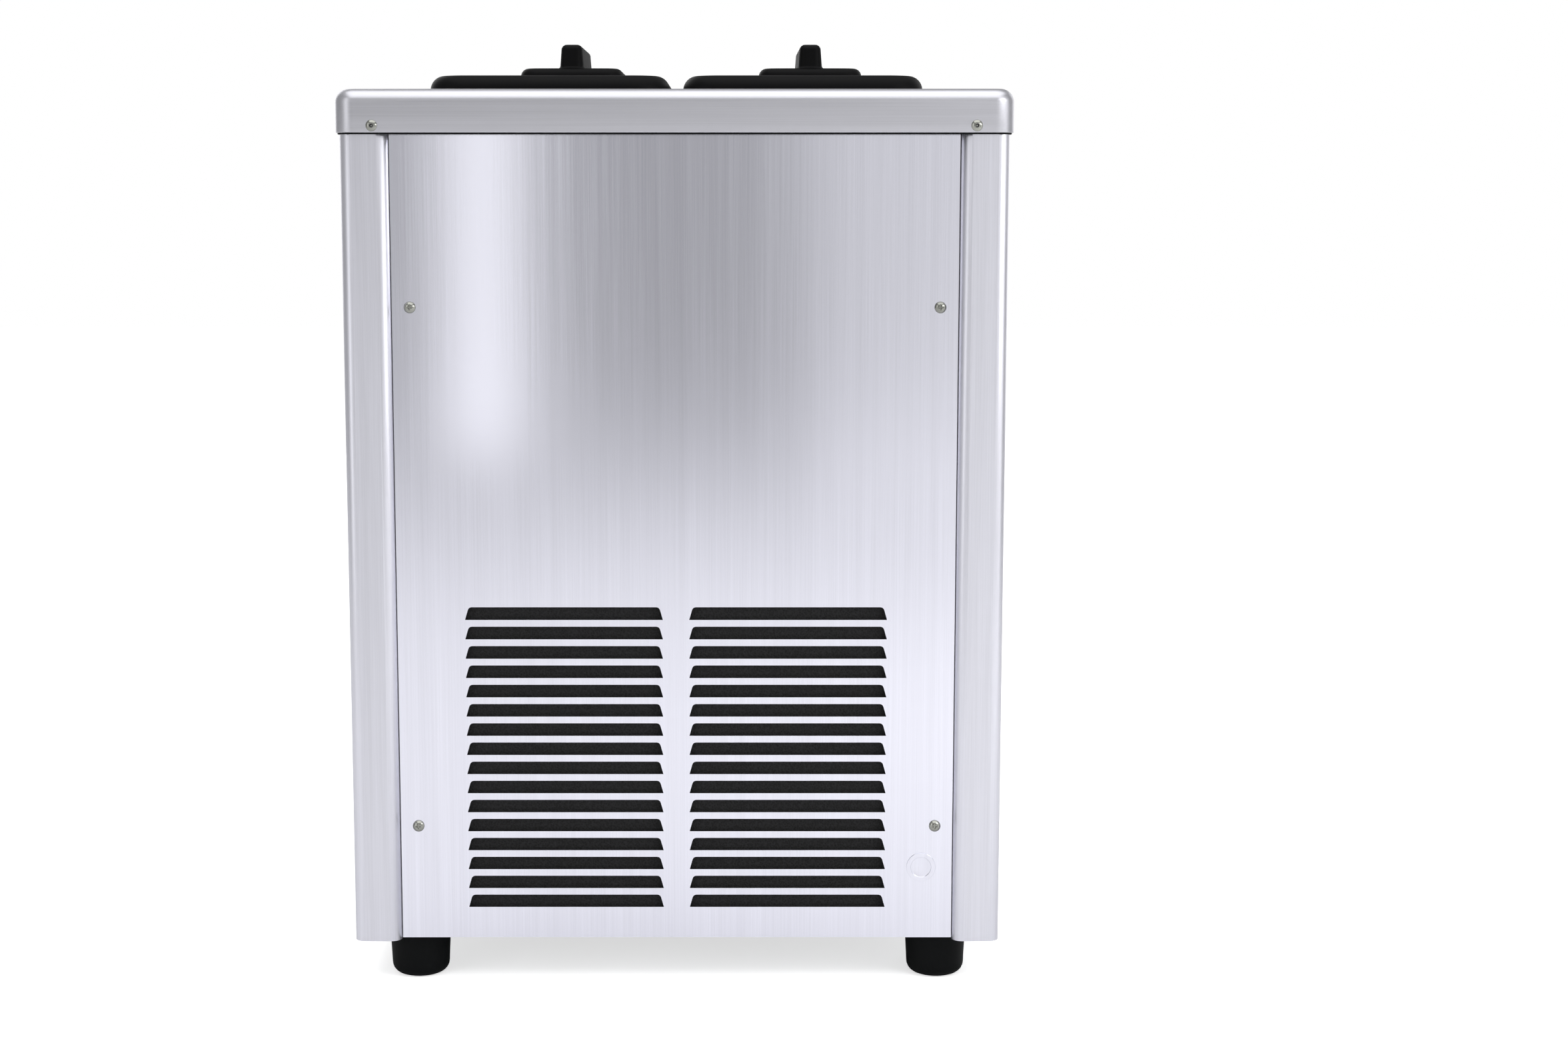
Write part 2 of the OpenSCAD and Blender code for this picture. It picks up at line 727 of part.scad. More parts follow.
module dispensing_head() {
    color("white") difference() {
        union() {
            translate([0, head_back, barrel_z])
                rotate([90, 0, 0]) linear_extrude(head_t) round_rect(344, 150, 22);
            for (s = [-1, 1]) rod_y(s * hopper_x, barrel_z, barrel_r - 0.4, head_back - 1, head_back + 14);
            for (x = valve_xs) {
                translate([x, valve_y, valve_bottom]) cylinder(r = valve_r, h = valve_top - valve_bottom);
                for (side = [-1, 1])
                    block([x + side * 12 - 3, lever_y, valve_top - 18],
                          [x + side * 12 + 3, valve_y, lever_z]);
                for (side = [-1, 1]) rod_x(lever_y, lever_z, 8, x + side * 12 - 3, x + side * 12 + 3);
            }
        }
        for (x = valve_xs) {
            translate([x, valve_y, valve_bottom - 1]) cylinder(r = plunger_r + 0.1, h = 200);
            block([x - 9, lever_y - 9, window_z - 8], [x + 9, valve_y + 2, lever_z + 12]);
            rod_x(lever_y, lever_z, pin_r + 0.03, x - 30, x + 30);
        }
        for (s = [-1, 1]) rod_y(s * hopper_x, port_z, 7, valve_y, head_back + 15);
        rod_x(head_back - 11, port_z, 6, -hopper_x, hopper_x);
        rod_y(0, port_z, 6, valve_y, head_back - 11);
        for (p = knob_places) rod_y(p[0], p[1], 4.3, head_front - 5, head_back + 5);
    }
}

module seals() {
    color("tomato") {
        for (s = [-1, 1]) translate([s * hopper_x, hopper_y, 0]) difference() {
            round_slab(hopper_w + 16, hopper_d + 16, 27, cover_top, 1);
            round_slab(hopper_w + 2 * hopper_wall + 0.4, hopper_d + 2 * hopper_wall + 0.4,
                       22.2, cover_top - 1, 3);
        }
        for (s = [-1, 1])
            ring_y(s * hopper_x, barrel_z, barrel_r + 6, barrel_r + 1, head_back, barrel_front);
    }
}

module head_knobs() {
    color([0.08, 0.08, 0.08]) for (p = knob_places) difference() {
        union() {
            rod_y(p[0], p[1], 11, head_front - 20, head_front - 4);
            rod_y(p[0], p[1], 9, head_front - 4, head_front);
            for (a = [0:60:300])
                rod_y(p[0] + 10 * cos(a), p[1] + 10 * sin(a), 5, head_front - 20, head_front - 4);
            rod_y(p[0], p[1], 4, head_front - 1, panel_front + 12);
        }
    }
}

module plunger(x) {
    color("white") translate([x, valve_y, 0]) difference() {
        translate([0, 0, plunger_bottom]) cylinder(r = plunger_r, h = lever_z + 14 - plunger_bottom);
        block([-5.2, -14, window_z - finger_r - 1.2], [5.2, 7, window_z + finger_r + 1.2]);
        block([-5.2, -14, window_z - finger_r - 5], [5.2, -3, window_z + finger_r + 5]);
        for (z = [plunger_bottom + 1.5, port_z + 12]) translate([0, 0, z]) difference() {
            cylinder(r = plunger_r + 1, h = 3);
            translate([0, 0, -1]) cylinder(r = plunger_r - 1.6, h = 5);
        }
    }
}

// A draw lever, shut: its finger dips into the plunger and its grip stands up and forwards.
module lever(x) {
    lean = 70;
    arm = 84;
    color("silver") translate([x, lever_y, lever_z]) difference() {
        union() {
            rod_x(0, 0, 8, -8.6, 8.6);
            rotate([90 - finger_dip - 180, 0, 0]) cylinder(r = 3, h = finger_len);
            translate([0, finger_len * cos(finger_dip), -finger_len * sin(finger_dip)])
                sphere(r = finger_r);
            rotate([90 - lean, 0, 0]) {
                cylinder(r = 5, h = arm);
                translate([0, 0, arm - 46]) cylinder(r1 = 8, r2 = 12, h = 46);
                translate([0, 0, arm]) sphere(r = 12);
            }
        }
        rod_x(0, 0, pin_r + 0.05, -20, 20);
    }
}

module lever_pin() {
    color("silver") {
        rod_x(lever_y, lever_z, pin_r, -hopper_x - 22, hopper_x + 22);
        rod_x(lever_y, lever_z, 7, -hopper_x - 25, -hopper_x - 21);
        rod_x(lever_y, lever_z, 7, hopper_x + 21, hopper_x + 25);
    }
}

module nozzle_caps() {
    star = [for (i = [0:11]) let (r = i % 2 == 0 ? 9 : 5.5) [r * cos(i * 30), r * sin(i * 30)]];
    color("white") for (x = valve_xs) translate([x, valve_y, valve_bottom - 6]) difference() {
        cylinder(r = valve_r + 2.5, h = 20);
        translate([0, 0, 6]) cylinder(r = valve_r + 0.05, h = 20);
        translate([0, 0, -1]) linear_extrude(8) polygon(star);
    }
}

// ---------------------------------------------------------------- drip tray and controls

module drip_tray() {
    color("silver") difference() {
        block([-172, tray_front, tray_z - 3.7], [172, tray_back, tray_z + 30]);
        block([-169.5, tray_front + 2.5, tray_z - 1.5], [169.5, tray_back - 2.5, tray_z + 24]);
        block([-171, tray_front + 1, tray_z + 24], [171, tray_back - 1, tray_z + 40]);
    }
}

module drip_grid() {
    color("silver") difference() {
        block([-170.5, tray_front + 1.5, tray_z + 24.2], [170.5, tray_back - 1.5, tray_z + 26.2]);
        for (x = [-156:13:150])
            block([x, tray_front + 12, tray_z + 20], [x + 7, tray_back - 12, tray_z + 30]);
    }
}

module control_fascia() {
    color([0.04, 0.04, 0.05]) difference() {
        translate([0, panel_front, fascia_z])
            rotate([90, 0, 0]) linear_extrude(fascia_t) round_rect(400, 74, 8);
        for (x = button_xs) rod_y(x, fascia_z, button_r + 0.3, panel_front - 10, panel_front + 1);
        block([rocker_x - 9, panel_front - 10, fascia_z - 13],
              [rocker_x + 9, panel_front + 1, fascia_z + 13]);
        block([-150, panel_front - fascia_t - 1, fascia_z - 18],
              [-30, panel_front - fascia_t + 1, fascia_z + 18]);
    }
}

module button(i, shade) {
    color(shade) rod_y(button_xs[i], fascia_z, button_r, panel_front - fascia_t - 2.5, panel_front - 1.8);
}

// The rocker stands in its OFF position, tipped about its own pivot.
module power_rocker() {
    color("firebrick") translate([rocker_x, panel_front - fascia_t, fascia_z]) {
        rotate([-8, 0, 0]) block([-8.4, -3, -12], [8.4, 1.6, 12]);
        rod_x(0, 0, 1.2, -8.8, 8.8);
    }
}

base_pan();
chassis_frame();
side_panel(-1);  // left_side_panel
side_panel(1);  // right_side_panel
rear_panel();
rear_panel_screws();
top_cover();
cover_rivets();
front_panel();
air_filter();
cord_gland();
feet();
foot_bolts();
hopper(-1);  // left_hopper
hopper(1);  // right_hopper
lid(-1);  // left_lid
lid(1);  // right_lid
feed_tube(-1);  // left_feed_tube
feed_tube(1);  // right_feed_tube
cylinder_barrel(-1);  // left_cylinder
cylinder_barrel(1);  // right_cylinder
evaporator_jackets();
cylinder_insulation();
beater(-1);  // left_beater
beater(1);  // right_beater
scrapers(-1);  // left_scrapers
scrapers(1);  // right_scrapers
drive_shaft(-1);  // left_drive_shaft
drive_shaft(1);  // right_drive_shaft
gearboxes();
gearbox_pulley(-1);  // left_gearbox_pulley
gearbox_pulley(1);  // right_gearbox_pulley
drive_motor();
motor_pulley();
drive_belts();
compressor();
condenser_coil();
fan_shroud();
fan_motor();
fan_blades();
refrigerant_lines();
control_box();
dispensing_head();
seals();
head_knobs();
plunger(valve_xs[0]);  // left_plunger
plunger(valve_xs[1]);  // centre_plunger
plunger(valve_xs[2]);  // right_plunger
lever(valve_xs[0]);  // left_lever
lever(valve_xs[1]);  // centre_lever
lever(valve_xs[2]);  // right_lever
lever_pin();
nozzle_caps();
drip_tray();
drip_grid();
control_fascia();
button(0, "seagreen");  // auto_button
button(1, "royalblue");  // wash_button
button(2, "firebrick");  // stop_button
power_rocker();
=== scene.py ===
"""A countertop soft serve machine in brushed steel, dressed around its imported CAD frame.

Sizes are metres in the CAD's own frame: +Z up, the dispensing front towards -Y and the
louvred back towards +Y. Places come from the frame's boxes.
"""
import sys

import json
import logging
import math
from dataclasses import dataclass, field
from enum import Enum
from typing import Any

import bmesh
import bpy
import numpy as np
from mathutils import Matrix, Vector


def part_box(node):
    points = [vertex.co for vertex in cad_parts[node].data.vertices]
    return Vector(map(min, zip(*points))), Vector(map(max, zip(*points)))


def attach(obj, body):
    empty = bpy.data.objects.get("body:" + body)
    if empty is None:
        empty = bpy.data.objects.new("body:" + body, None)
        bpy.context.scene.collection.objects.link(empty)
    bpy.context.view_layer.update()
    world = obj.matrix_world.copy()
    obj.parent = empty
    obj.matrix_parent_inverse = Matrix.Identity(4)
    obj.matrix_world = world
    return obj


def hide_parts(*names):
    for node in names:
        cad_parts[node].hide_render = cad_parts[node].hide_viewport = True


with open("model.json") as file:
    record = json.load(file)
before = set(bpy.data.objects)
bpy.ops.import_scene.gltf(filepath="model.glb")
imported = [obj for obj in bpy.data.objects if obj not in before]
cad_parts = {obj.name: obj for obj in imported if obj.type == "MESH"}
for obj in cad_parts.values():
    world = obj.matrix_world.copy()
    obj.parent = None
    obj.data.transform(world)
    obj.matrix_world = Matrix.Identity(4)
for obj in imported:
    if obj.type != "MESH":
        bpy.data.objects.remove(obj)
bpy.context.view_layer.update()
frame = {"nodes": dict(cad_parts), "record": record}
LOG = logging.getLogger("soft_serve")
MM = 0.001

Grid = np.ndarray


# ---------------------------------------------------------------- shader nodes


def linear(code: str) -> tuple[float, float, float, float]:
    """Turn an sRGB hex colour into linear RGBA.

    Args:
        code: Six hex digits, such as "c8c9cc".

    Returns:
        Linear red, green and blue, and an alpha of 1.
    """
    values = np.array([int(code[i:i + 2], 16) for i in (0, 2, 4)]) / 255
    curve = np.where(values <= 0.04045, values / 12.92, ((values + 0.055) / 1.055) ** 2.4)
    return (*map(float, curve), 1.0)


def add(tree: bpy.types.NodeTree, kind: str, settings: dict[str, Any] | None = None,
        inputs: dict[str | int, Any] | None = None) -> bpy.types.Node:
    """Add one node, with its settings and its inputs' values or links.

    Args:
        tree: The node tree that gets the node.
        kind: The node's type, such as "ShaderNodeTexNoise".
        settings: Properties of the node itself.
        inputs: For each input socket, a value, or an output socket to link from.

    Returns:
        The new node.
    """
    node = tree.nodes.new(kind)
    for name, value in (settings or {}).items():
        setattr(node, name, value)
    for name, value in (inputs or {}).items():
        if isinstance(value, bpy.types.NodeSocket):
            tree.links.new(value, node.inputs[name])
        else:
            node.inputs[name].default_value = value
    return node


def ramp(tree: bpy.types.NodeTree, factor: bpy.types.NodeSocket,
         stops: list[tuple[float, tuple]]) -> bpy.types.NodeSocket:
    """Turn a factor into a colour through a ramp of stops.

    Args:
        tree: The material's node tree.
        factor: The socket that drives the ramp.
        stops: Place and linear colour of each stop, in order.

    Returns:
        The ramp's colour socket.
    """
    node = add(tree, "ShaderNodeValToRGB", inputs={"Fac": factor})
    marks = node.color_ramp.elements
    while len(marks) < len(stops):
        marks.new(0.5)
    for mark, (place, colour) in zip(marks, stops):
        mark.position = place
        mark.color = colour
    return node.outputs["Color"]


class Grain(Enum):
    """Which way a brushed surface's lines run; the value holds the lines' direction."""

    UPRIGHT = (0, 0, 1)
    ACROSS = (1, 0, 0)
    LENGTHWISE = (0, 1, 0)


@dataclass(frozen=True)
class Finish:
    """What every finish has: a name, a colour and a gloss."""

    name: str
    colour: str
    roughness: float
    metallic: float = 0.0
    coat: float = 0.0
    specular: float = 0.5

    def start(self) -> tuple[bpy.types.Material, bpy.types.NodeTree, bpy.types.Node,
                             bpy.types.NodeSocket]:
        """Make the material with its constant sockets set.

        Returns:
            The material, its tree, its Principled shader and the Object coordinates.
        """
        material = bpy.data.materials.new(self.name)
        material.use_nodes = True
        tree = material.node_tree
        shader = tree.nodes["Principled BSDF"]
        shader.inputs["Base Color"].default_value = linear(self.colour)
        shader.inputs["Roughness"].default_value = self.roughness
        shader.inputs["Metallic"].default_value = self.metallic
        shader.inputs["Coat Weight"].default_value = self.coat
        shader.inputs["Specular IOR Level"].default_value = self.specular
        place = add(tree, "ShaderNodeTexCoord").outputs["Object"]
        return material, tree, shader, place

    def noise(self, tree: bpy.types.NodeTree, place: bpy.types.NodeSocket,
              size: tuple[float, float, float], detail: float = 2.0) -> bpy.types.NodeSocket:
        """Noise whose blots measure `size`, in metres along X, Y and Z.

        Args:
            tree: The material's node tree.
            place: The coordinates to read.
            size: Size of one blot along each axis.
            detail: How many finer layers the noise has.

        Returns:
            The noise's factor socket.
        """
        scale = tuple(1 / length for length in size)
        mapped = add(tree, "ShaderNodeMapping", inputs={"Vector": place, "Scale": scale})
        return add(tree, "ShaderNodeTexNoise", inputs={
            "Vector": mapped.outputs["Vector"], "Scale": 1.0, "Detail": detail}).outputs["Fac"]

    def cloud(self, tree: bpy.types.NodeTree, shader: bpy.types.Node, factor: bpy.types.NodeSocket,
              share: float, stops: tuple[float, float], gloss: tuple[float, float]) -> None:
        """Let a noise vary the tone about the finish's colour and the gloss about its roughness.

        Args:
            tree: The material's node tree.
            shader: Its Principled shader.
            factor: The noise.
            share: Share by which the tone goes darker and lighter.
            stops: Values of the noise at which it is darkest and lightest.
            gloss: Roughness at low and at high noise, as shares of the finish's own.
        """
        base = np.array(linear(self.colour))[:3]
        tones = [(*map(float, np.clip(base * level, 0, 1)), 1.0) for level in (1 - share, 1 + share)]
        colour = ramp(tree, factor, list(zip(stops, tones)))
        tree.links.new(colour, shader.inputs["Base Color"])
        smooth, rough = (min(self.roughness * level, 1.0) for level in gloss)
        span = add(tree, "ShaderNodeMapRange", inputs={
            "Value": factor, "From Min": 0.3, "From Max": 0.7, "To Min": smooth, "To Max": rough})
        tree.links.new(span.outputs["Result"], shader.inputs["Roughness"])

    def emboss(self, tree: bpy.types.NodeTree, shader: bpy.types.Node,
               height: bpy.types.NodeSocket, depth: float, strength: float = 1.0) -> None:
        """Raise the surface by a height map.

        Args:
            tree: The material's node tree.
            shader: Its Principled shader.
            height: The height map.
            depth: Height of its full range, in metres.
            strength: Share of the bump that shows.
        """
        bump = add(tree, "ShaderNodeBump", inputs={
            "Strength": strength, "Distance": depth, "Height": height})
        tree.links.new(bump.outputs["Normal"], shader.inputs["Normal"])


@dataclass(frozen=True)
class BrushedSteel(Finish):
    """Stainless steel sheet with a number 4 finish: one-way lines from an abrasive belt.

    The lines blur what is reflected across them and leave faint light and dark streaks along
    them. A real line is 0.1 mm wide, too fine to show, so `line` is drawn coarser.
    """

    metallic: float = 1.0
    grain: Grain = Grain.UPRIGHT
    line: float = 0.9 * MM
    streak: float = 7 * MM
    length: float = 0.5
    contrast: float = 0.06
    scratch: float = 0.004 * MM

    def stretched(self, width: float, length: float) -> tuple[float, float, float]:
        """Size of a blot that is `width` across the grain and `length` along it."""
        return tuple(length if along else width for along in self.grain.value)

    def make(self) -> bpy.types.Material:
        """Build the material: fine lines and broad streaks, in its tone, gloss and bump.

        Returns:
            The material.
        """
        material, tree, shader, place = self.start()
        lines = self.noise(tree, place, self.stretched(self.line, self.length * 0.3), 3.0)
        streaks = self.noise(tree, place, self.stretched(self.streak, self.length * 2), 2.0)
        mixed = add(tree, "ShaderNodeMix", inputs={"Factor": 0.4, "A": lines, "B": streaks})
        self.cloud(tree, shader, mixed.outputs["Result"], self.contrast, (0.3, 0.7), (0.93, 1.08))
        self.emboss(tree, shader, lines, self.scratch, 0.5)
        return material


@dataclass(frozen=True)
class Textured(Finish):
    """A moulded, cast, painted or foamed surface: an even grit, with a slow change of tone.

    A real grit is mostly 0.1 to 0.3 mm, too fine to show, so `grit` is drawn coarser.
    """

    grit: float = 0.7 * MM
    depth: float = 0.02 * MM
    tone: float = 0.12
    blot: float = 60 * MM

    def make(self) -> bpy.types.Material:
        """Build the material from a fine grit bump and a broad tone noise.

        Returns:
            The material.
        """
        material, tree, shader, place = self.start()
        fine = self.noise(tree, place, (self.grit,) * 3, 2.0)
        broad = self.noise(tree, place, (self.blot,) * 3, 3.0)
        self.cloud(tree, shader, broad, self.tone, (0.35, 0.65), (0.93, 1.1))
        self.emboss(tree, shader, fine, self.depth)
        return material


@dataclass(frozen=True)
class Lamp(Finish):
    """A small lit legend behind smoked acrylic, a little uneven as its diode sits to one side."""

    glow: float = 0.6
    blot: float = 6 * MM

    def make(self) -> bpy.types.Material:
        """Build the material: a pale diffuser that glows a little more in some blots than in others.

        Returns:
            The material.
        """
        material, tree, shader, place = self.start()
        blots = self.noise(tree, place, (self.blot,) * 3, 1.0)
        level = add(tree, "ShaderNodeMapRange", inputs={
            "Value": blots, "From Min": 0.3, "From Max": 0.7,
            "To Min": self.glow * 0.8, "To Max": self.glow * 1.2})
        shader.inputs["Emission Color"].default_value = linear(self.colour)
        tree.links.new(level.outputs["Result"], shader.inputs["Emission Strength"])
        return material


@dataclass(frozen=True)
class OpenFoam(Finish):
    """Reticulated polyurethane filter foam: black cells about a millimetre and a half wide."""

    cell: float = 1.6 * MM
    pit: float = 0.5 * MM

    def make(self) -> bpy.types.Material:
        """Build the material from cells whose hollows are painted darker than their struts, as painted shade
        in the pits, over the same cells as its bump.

        Returns:
            The material.
        """
        material, tree, shader, place = self.start()
        cells = add(tree, "ShaderNodeTexVoronoi", {"feature": "F1"}, {
            "Vector": place, "Scale": 1 / self.cell}).outputs["Distance"]
        # Painted shade: the ramp darkens each cell's hollow below the foam's own black.
        colour = ramp(tree, cells, [(0.15, linear("060606")), (0.75, linear("1c1c1d"))])
        tree.links.new(colour, shader.inputs["Base Color"])
        self.emboss(tree, shader, cells, self.pit)
        return material


# Each finish is a real material and how its surface was made. The comment above it says what that
# gives the eye.
# Belt lines across the sheet: a soft grey that spreads every light into a level blur.
COVER_STEEL = BrushedSteel("stainless_brushed_across", "bfbfc5", 0.38, grain=Grain.ACROSS, line=0.7 * MM,
                           contrast=0.07)
# Finer belt lines, upright: a bright sheet that keeps a light as a soft-sided patch of shine.
PANEL_STEEL = BrushedSteel("stainless_brushed_upright", "dcdce6", 0.155, grain=Grain.UPRIGHT)
# The same lines on a duller sheet: an even grey with only faint upright shades.
SIDE_STEEL = BrushedSteel("stainless_side_brushed_upright", "d4d4dc", 0.4, grain=Grain.UPRIGHT, length=0.3)
# Deep drawn, then rubbed lengthwise: a silky grey that darkens into its corners.
BOWL_STEEL = BrushedSteel("stainless_drawn_satin", "d6d7da", 0.32, grain=Grain.LENGTHWISE)
# Folded sheet with lines across: brighter than the bowl, its reflections still soft.
TRAY_STEEL = BrushedSteel("stainless_tray_satin", "d8d9dc", 0.25, grain=Grain.ACROSS)
# Cold-headed and left as formed: small, sharp, slightly dark glints.
FASTENER_STEEL = Textured("stainless_cold_headed", "94958f", 0.2, 1.0, grit=0.4 * MM, depth=0.006 * MM)
# Turned on a lathe: a clear but slightly broken shine.
MACHINED_STEEL = Textured("steel_turned", "a6a7aa", 0.3, 1.0, grit=0.5 * MM, depth=0.006 * MM)
# Polished bar: nearly a mirror, with hard light and dark edges.
CHROME = Textured("steel_polished", "d0d1d4", 0.08, 1.0, grit=0.8 * MM, depth=0.001 * MM, tone=0.03)
# Electroplated zinc: dull silver, clouded in patches.
ZINC_PLATE = Textured("zinc_plated_sheet", "a5a8ab", 0.42, 1.0, grit=3 * MM, depth=0.01 * MM, tone=0.2)
# Paint on a sand casting: matt slate grey over a coarse, pitted grain.
GEAR_CASTING = Textured("painted_casting", "4c545b", 0.5, grit=0.9 * MM, depth=0.12 * MM)
# Stoved enamel on a casting: even blue with a slight orange-peel shine.
MOTOR_PAINT = Textured("stoved_blue_paint", "2c4a66", 0.4, grit=0.6 * MM, depth=0.03 * MM)
# Stoved enamel on drawn steel: black and glossy, so lights show as streaks.
COMPRESSOR_PAINT = Textured("stoved_black_paint", "141415", 0.25, coat=0.3, grit=1 * MM, depth=0.02 * MM)
# Aluminium as it left the mill: pale, with a soft white shine.
FIN_ALUMINIUM = Textured("mill_aluminium", "c9cacc", 0.38, 1.0, grit=0.8 * MM, depth=0.01 * MM)
# Drawn tube, handled since: warm and bright, with browner patches.
COPPER = Textured("drawn_copper", "b87348", 0.3, 1.0, grit=1.2 * MM, depth=0.01 * MM, tone=0.2)
# Foam poured in place: matt straw colour with a pitted skin.
PU_FOAM = Textured("poured_foam", "cdb98a", 0.85, grit=2 * MM, depth=0.3 * MM)
# Open cells: black pits between dull struts, the pits darkened further by painted shade.
FILTER_FOAM = OpenFoam("filter_foam", "101011", 0.9)
# Pressed from the panel's own sheet: the same colour, a little duller.
GLAND_STEEL = BrushedSteel("stainless_pressed_plug", "dcdce6", 0.24, length=0.1)
# Rubber from a rough mould: nearly black, with no clear highlight.
FOOT_RUBBER = Textured("moulded_rubber", "060809", 0.6, specular=0.1, grit=0.8 * MM, depth=0.06 * MM,
                       tone=0.2)
# Rubber worn by running: dusty black and quite matt.
BELT_RUBBER = Textured("belt_rubber", "1a1a1b", 0.7, grit=0.7 * MM, depth=0.08 * MM)
# Cured silicone: brick red with a soft, waxy shine.
SEAL_RUBBER = Textured("silicone_seal", "b0402c", 0.5, grit=0.6 * MM)
# ABS from an etched mould: deep matt black whose edges only just catch the light.
LID_PLASTIC = Textured("moulded_abs_black", "0a0a0b", 0.5, specular=0.07, grit=0.8 * MM, depth=0.03 * MM,
                       tone=0.1)
# Filled nylon from an etched mould: charcoal with a satin shine.
BLACK_PLASTIC = Textured("moulded_nylon_black", "18181a", 0.42, grit=0.7 * MM, depth=0.03 * MM)
# Milled acetal: milky white and waxy, its cutter marks too fine to see.
HEAD_PLASTIC = Textured("machined_acetal_white", "e9e9e6", 0.32, grit=0.6 * MM, depth=0.006 * MM, tone=0.02)
# Moulded acetal: a slightly greyer white with a softer shine.
WHITE_PLASTIC = Textured("moulded_acetal_white", "e3e3df", 0.38, grit=0.6 * MM, depth=0.01 * MM, tone=0.03)
# Polyester film with a fine embossed texture: even black that dulls the lights.
FASCIA_FILM = Textured("polyester_film_black", "141518", 0.28, grit=0.35 * MM, depth=0.008 * MM, tone=0.04)
# Keys moulded in coloured ABS with a gloss face: clear colour under a small highlight.
GREEN_KEY = Textured("key_green", "2f8f55", 0.35, coat=0.2, grit=0.5 * MM, depth=0.006 * MM, tone=0.04)
BLUE_KEY = Textured("key_blue", "2f62a8", 0.35, coat=0.2, grit=0.5 * MM, depth=0.006 * MM, tone=0.04)
RED_KEY = Textured("key_red", "b02c28", 0.35, coat=0.2, grit=0.5 * MM, depth=0.006 * MM, tone=0.04)
# Polycarbonate from a polished mould: red with a sharp highlight.
ROCKER_RED = Textured("rocker_red", "b3221e", 0.22, coat=0.4, grit=0.5 * MM, depth=0.004 * MM, tone=0.04)
# Broken rivet stems in blue-black: the stems are real, their near-black tone is painted shade for the hole in
# each rivet's middle.
RIVET_HOLE_SHADE = Textured("rivet_stem_painted_shade", "1c1d22", 0.45, 0.6, grit=0.3 * MM, depth=0.02 * MM)
# Cast acrylic, smoked: nearly black, and glossy enough to mirror the room.
DISPLAY_GLASS = Textured("smoked_acrylic", "08090b", 0.08, coat=0.5, grit=4 * MM, depth=0.002 * MM, tone=0.05)
# Ink laid through a screen: flat, slightly grey white.
PRINT_WHITE = Textured("screen_printed_white", "cfd2d4", 0.5, grit=0.3 * MM, depth=0.004 * MM, tone=0.04)
# A diffuser lit from behind: pale, cool and a little brighter than its printing.
LAMP_WHITE = Lamp("lit_legend_white", "cfe9ff", 0.4)

SLOT_FINISHES: dict[str, Finish] = {
    "cover_steel": COVER_STEEL, "panel_steel": PANEL_STEEL, "side_steel": SIDE_STEEL,
    "bowl_steel": BOWL_STEEL, "fastener_steel": FASTENER_STEEL, "mechanism_steel": MACHINED_STEEL,
    "tray_steel": TRAY_STEEL, "lever_steel": CHROME, "zinc_steel": ZINC_PLATE,
    "gear_iron": GEAR_CASTING, "motor_paint": MOTOR_PAINT, "compressor_paint": COMPRESSOR_PAINT,
    "fin_aluminium": FIN_ALUMINIUM, "copper_pipe": COPPER, "foam_block": PU_FOAM,
    "filter_foam": FILTER_FOAM, "gland_steel": GLAND_STEEL, "foot_rubber": FOOT_RUBBER,
    "belt_rubber": BELT_RUBBER, "seal_rubber": SEAL_RUBBER, "lid_plastic": LID_PLASTIC,
    "black_plastic": BLACK_PLASTIC, "head_plastic": HEAD_PLASTIC, "white_plastic": WHITE_PLASTIC,
    "fascia_film": FASCIA_FILM, "auto_button_plastic": GREEN_KEY, "wash_button_plastic": BLUE_KEY,
    "stop_button_plastic": RED_KEY, "rocker_plastic": ROCKER_RED,
}


class Finishes:
    """Makes each material once and hands it out by finish."""

    def __init__(self) -> None:
        """Start with no material made."""
        self._made: dict[str, bpy.types.Material] = {}

    def get(self, finish: Finish) -> bpy.types.Material:
        """The material of a finish, made on first use.

        Args:
            finish: The finish asked for.

        Returns:
            Its material, the same one each time.
        """
        if finish.name not in self._made:
            self._made[finish.name] = finish.make()
        return self._made[finish.name]


FINISHES = Finishes()


# ---------------------------------------------------------------- surfaces


def quads(rows: int, columns: int, wrap_rows: bool, wrap_columns: bool) -> np.ndarray:
    """Corner numbers of the quads of a grid of points.

    Args:
        rows: Points along the first parameter.
        columns: Points along the second.
        wrap_rows: Whether the last row joins the first.
        wrap_columns: Whether the last column joins the first.

    Returns:
        An array of four corner numbers for each quad.
    """
    r = np.arange(rows if wrap_rows else rows - 1)
    c = np.arange(columns if wrap_columns else columns - 1)
    r, c = np.meshgrid(r, c, indexing="ij")
    r1, c1 = (r + 1) % rows, (c + 1) % columns
    corners = [r * columns + c, r * columns + c1, r1 * columns + c1, r1 * columns + c]
    return np.stack(corners, -1).reshape(-1, 4)


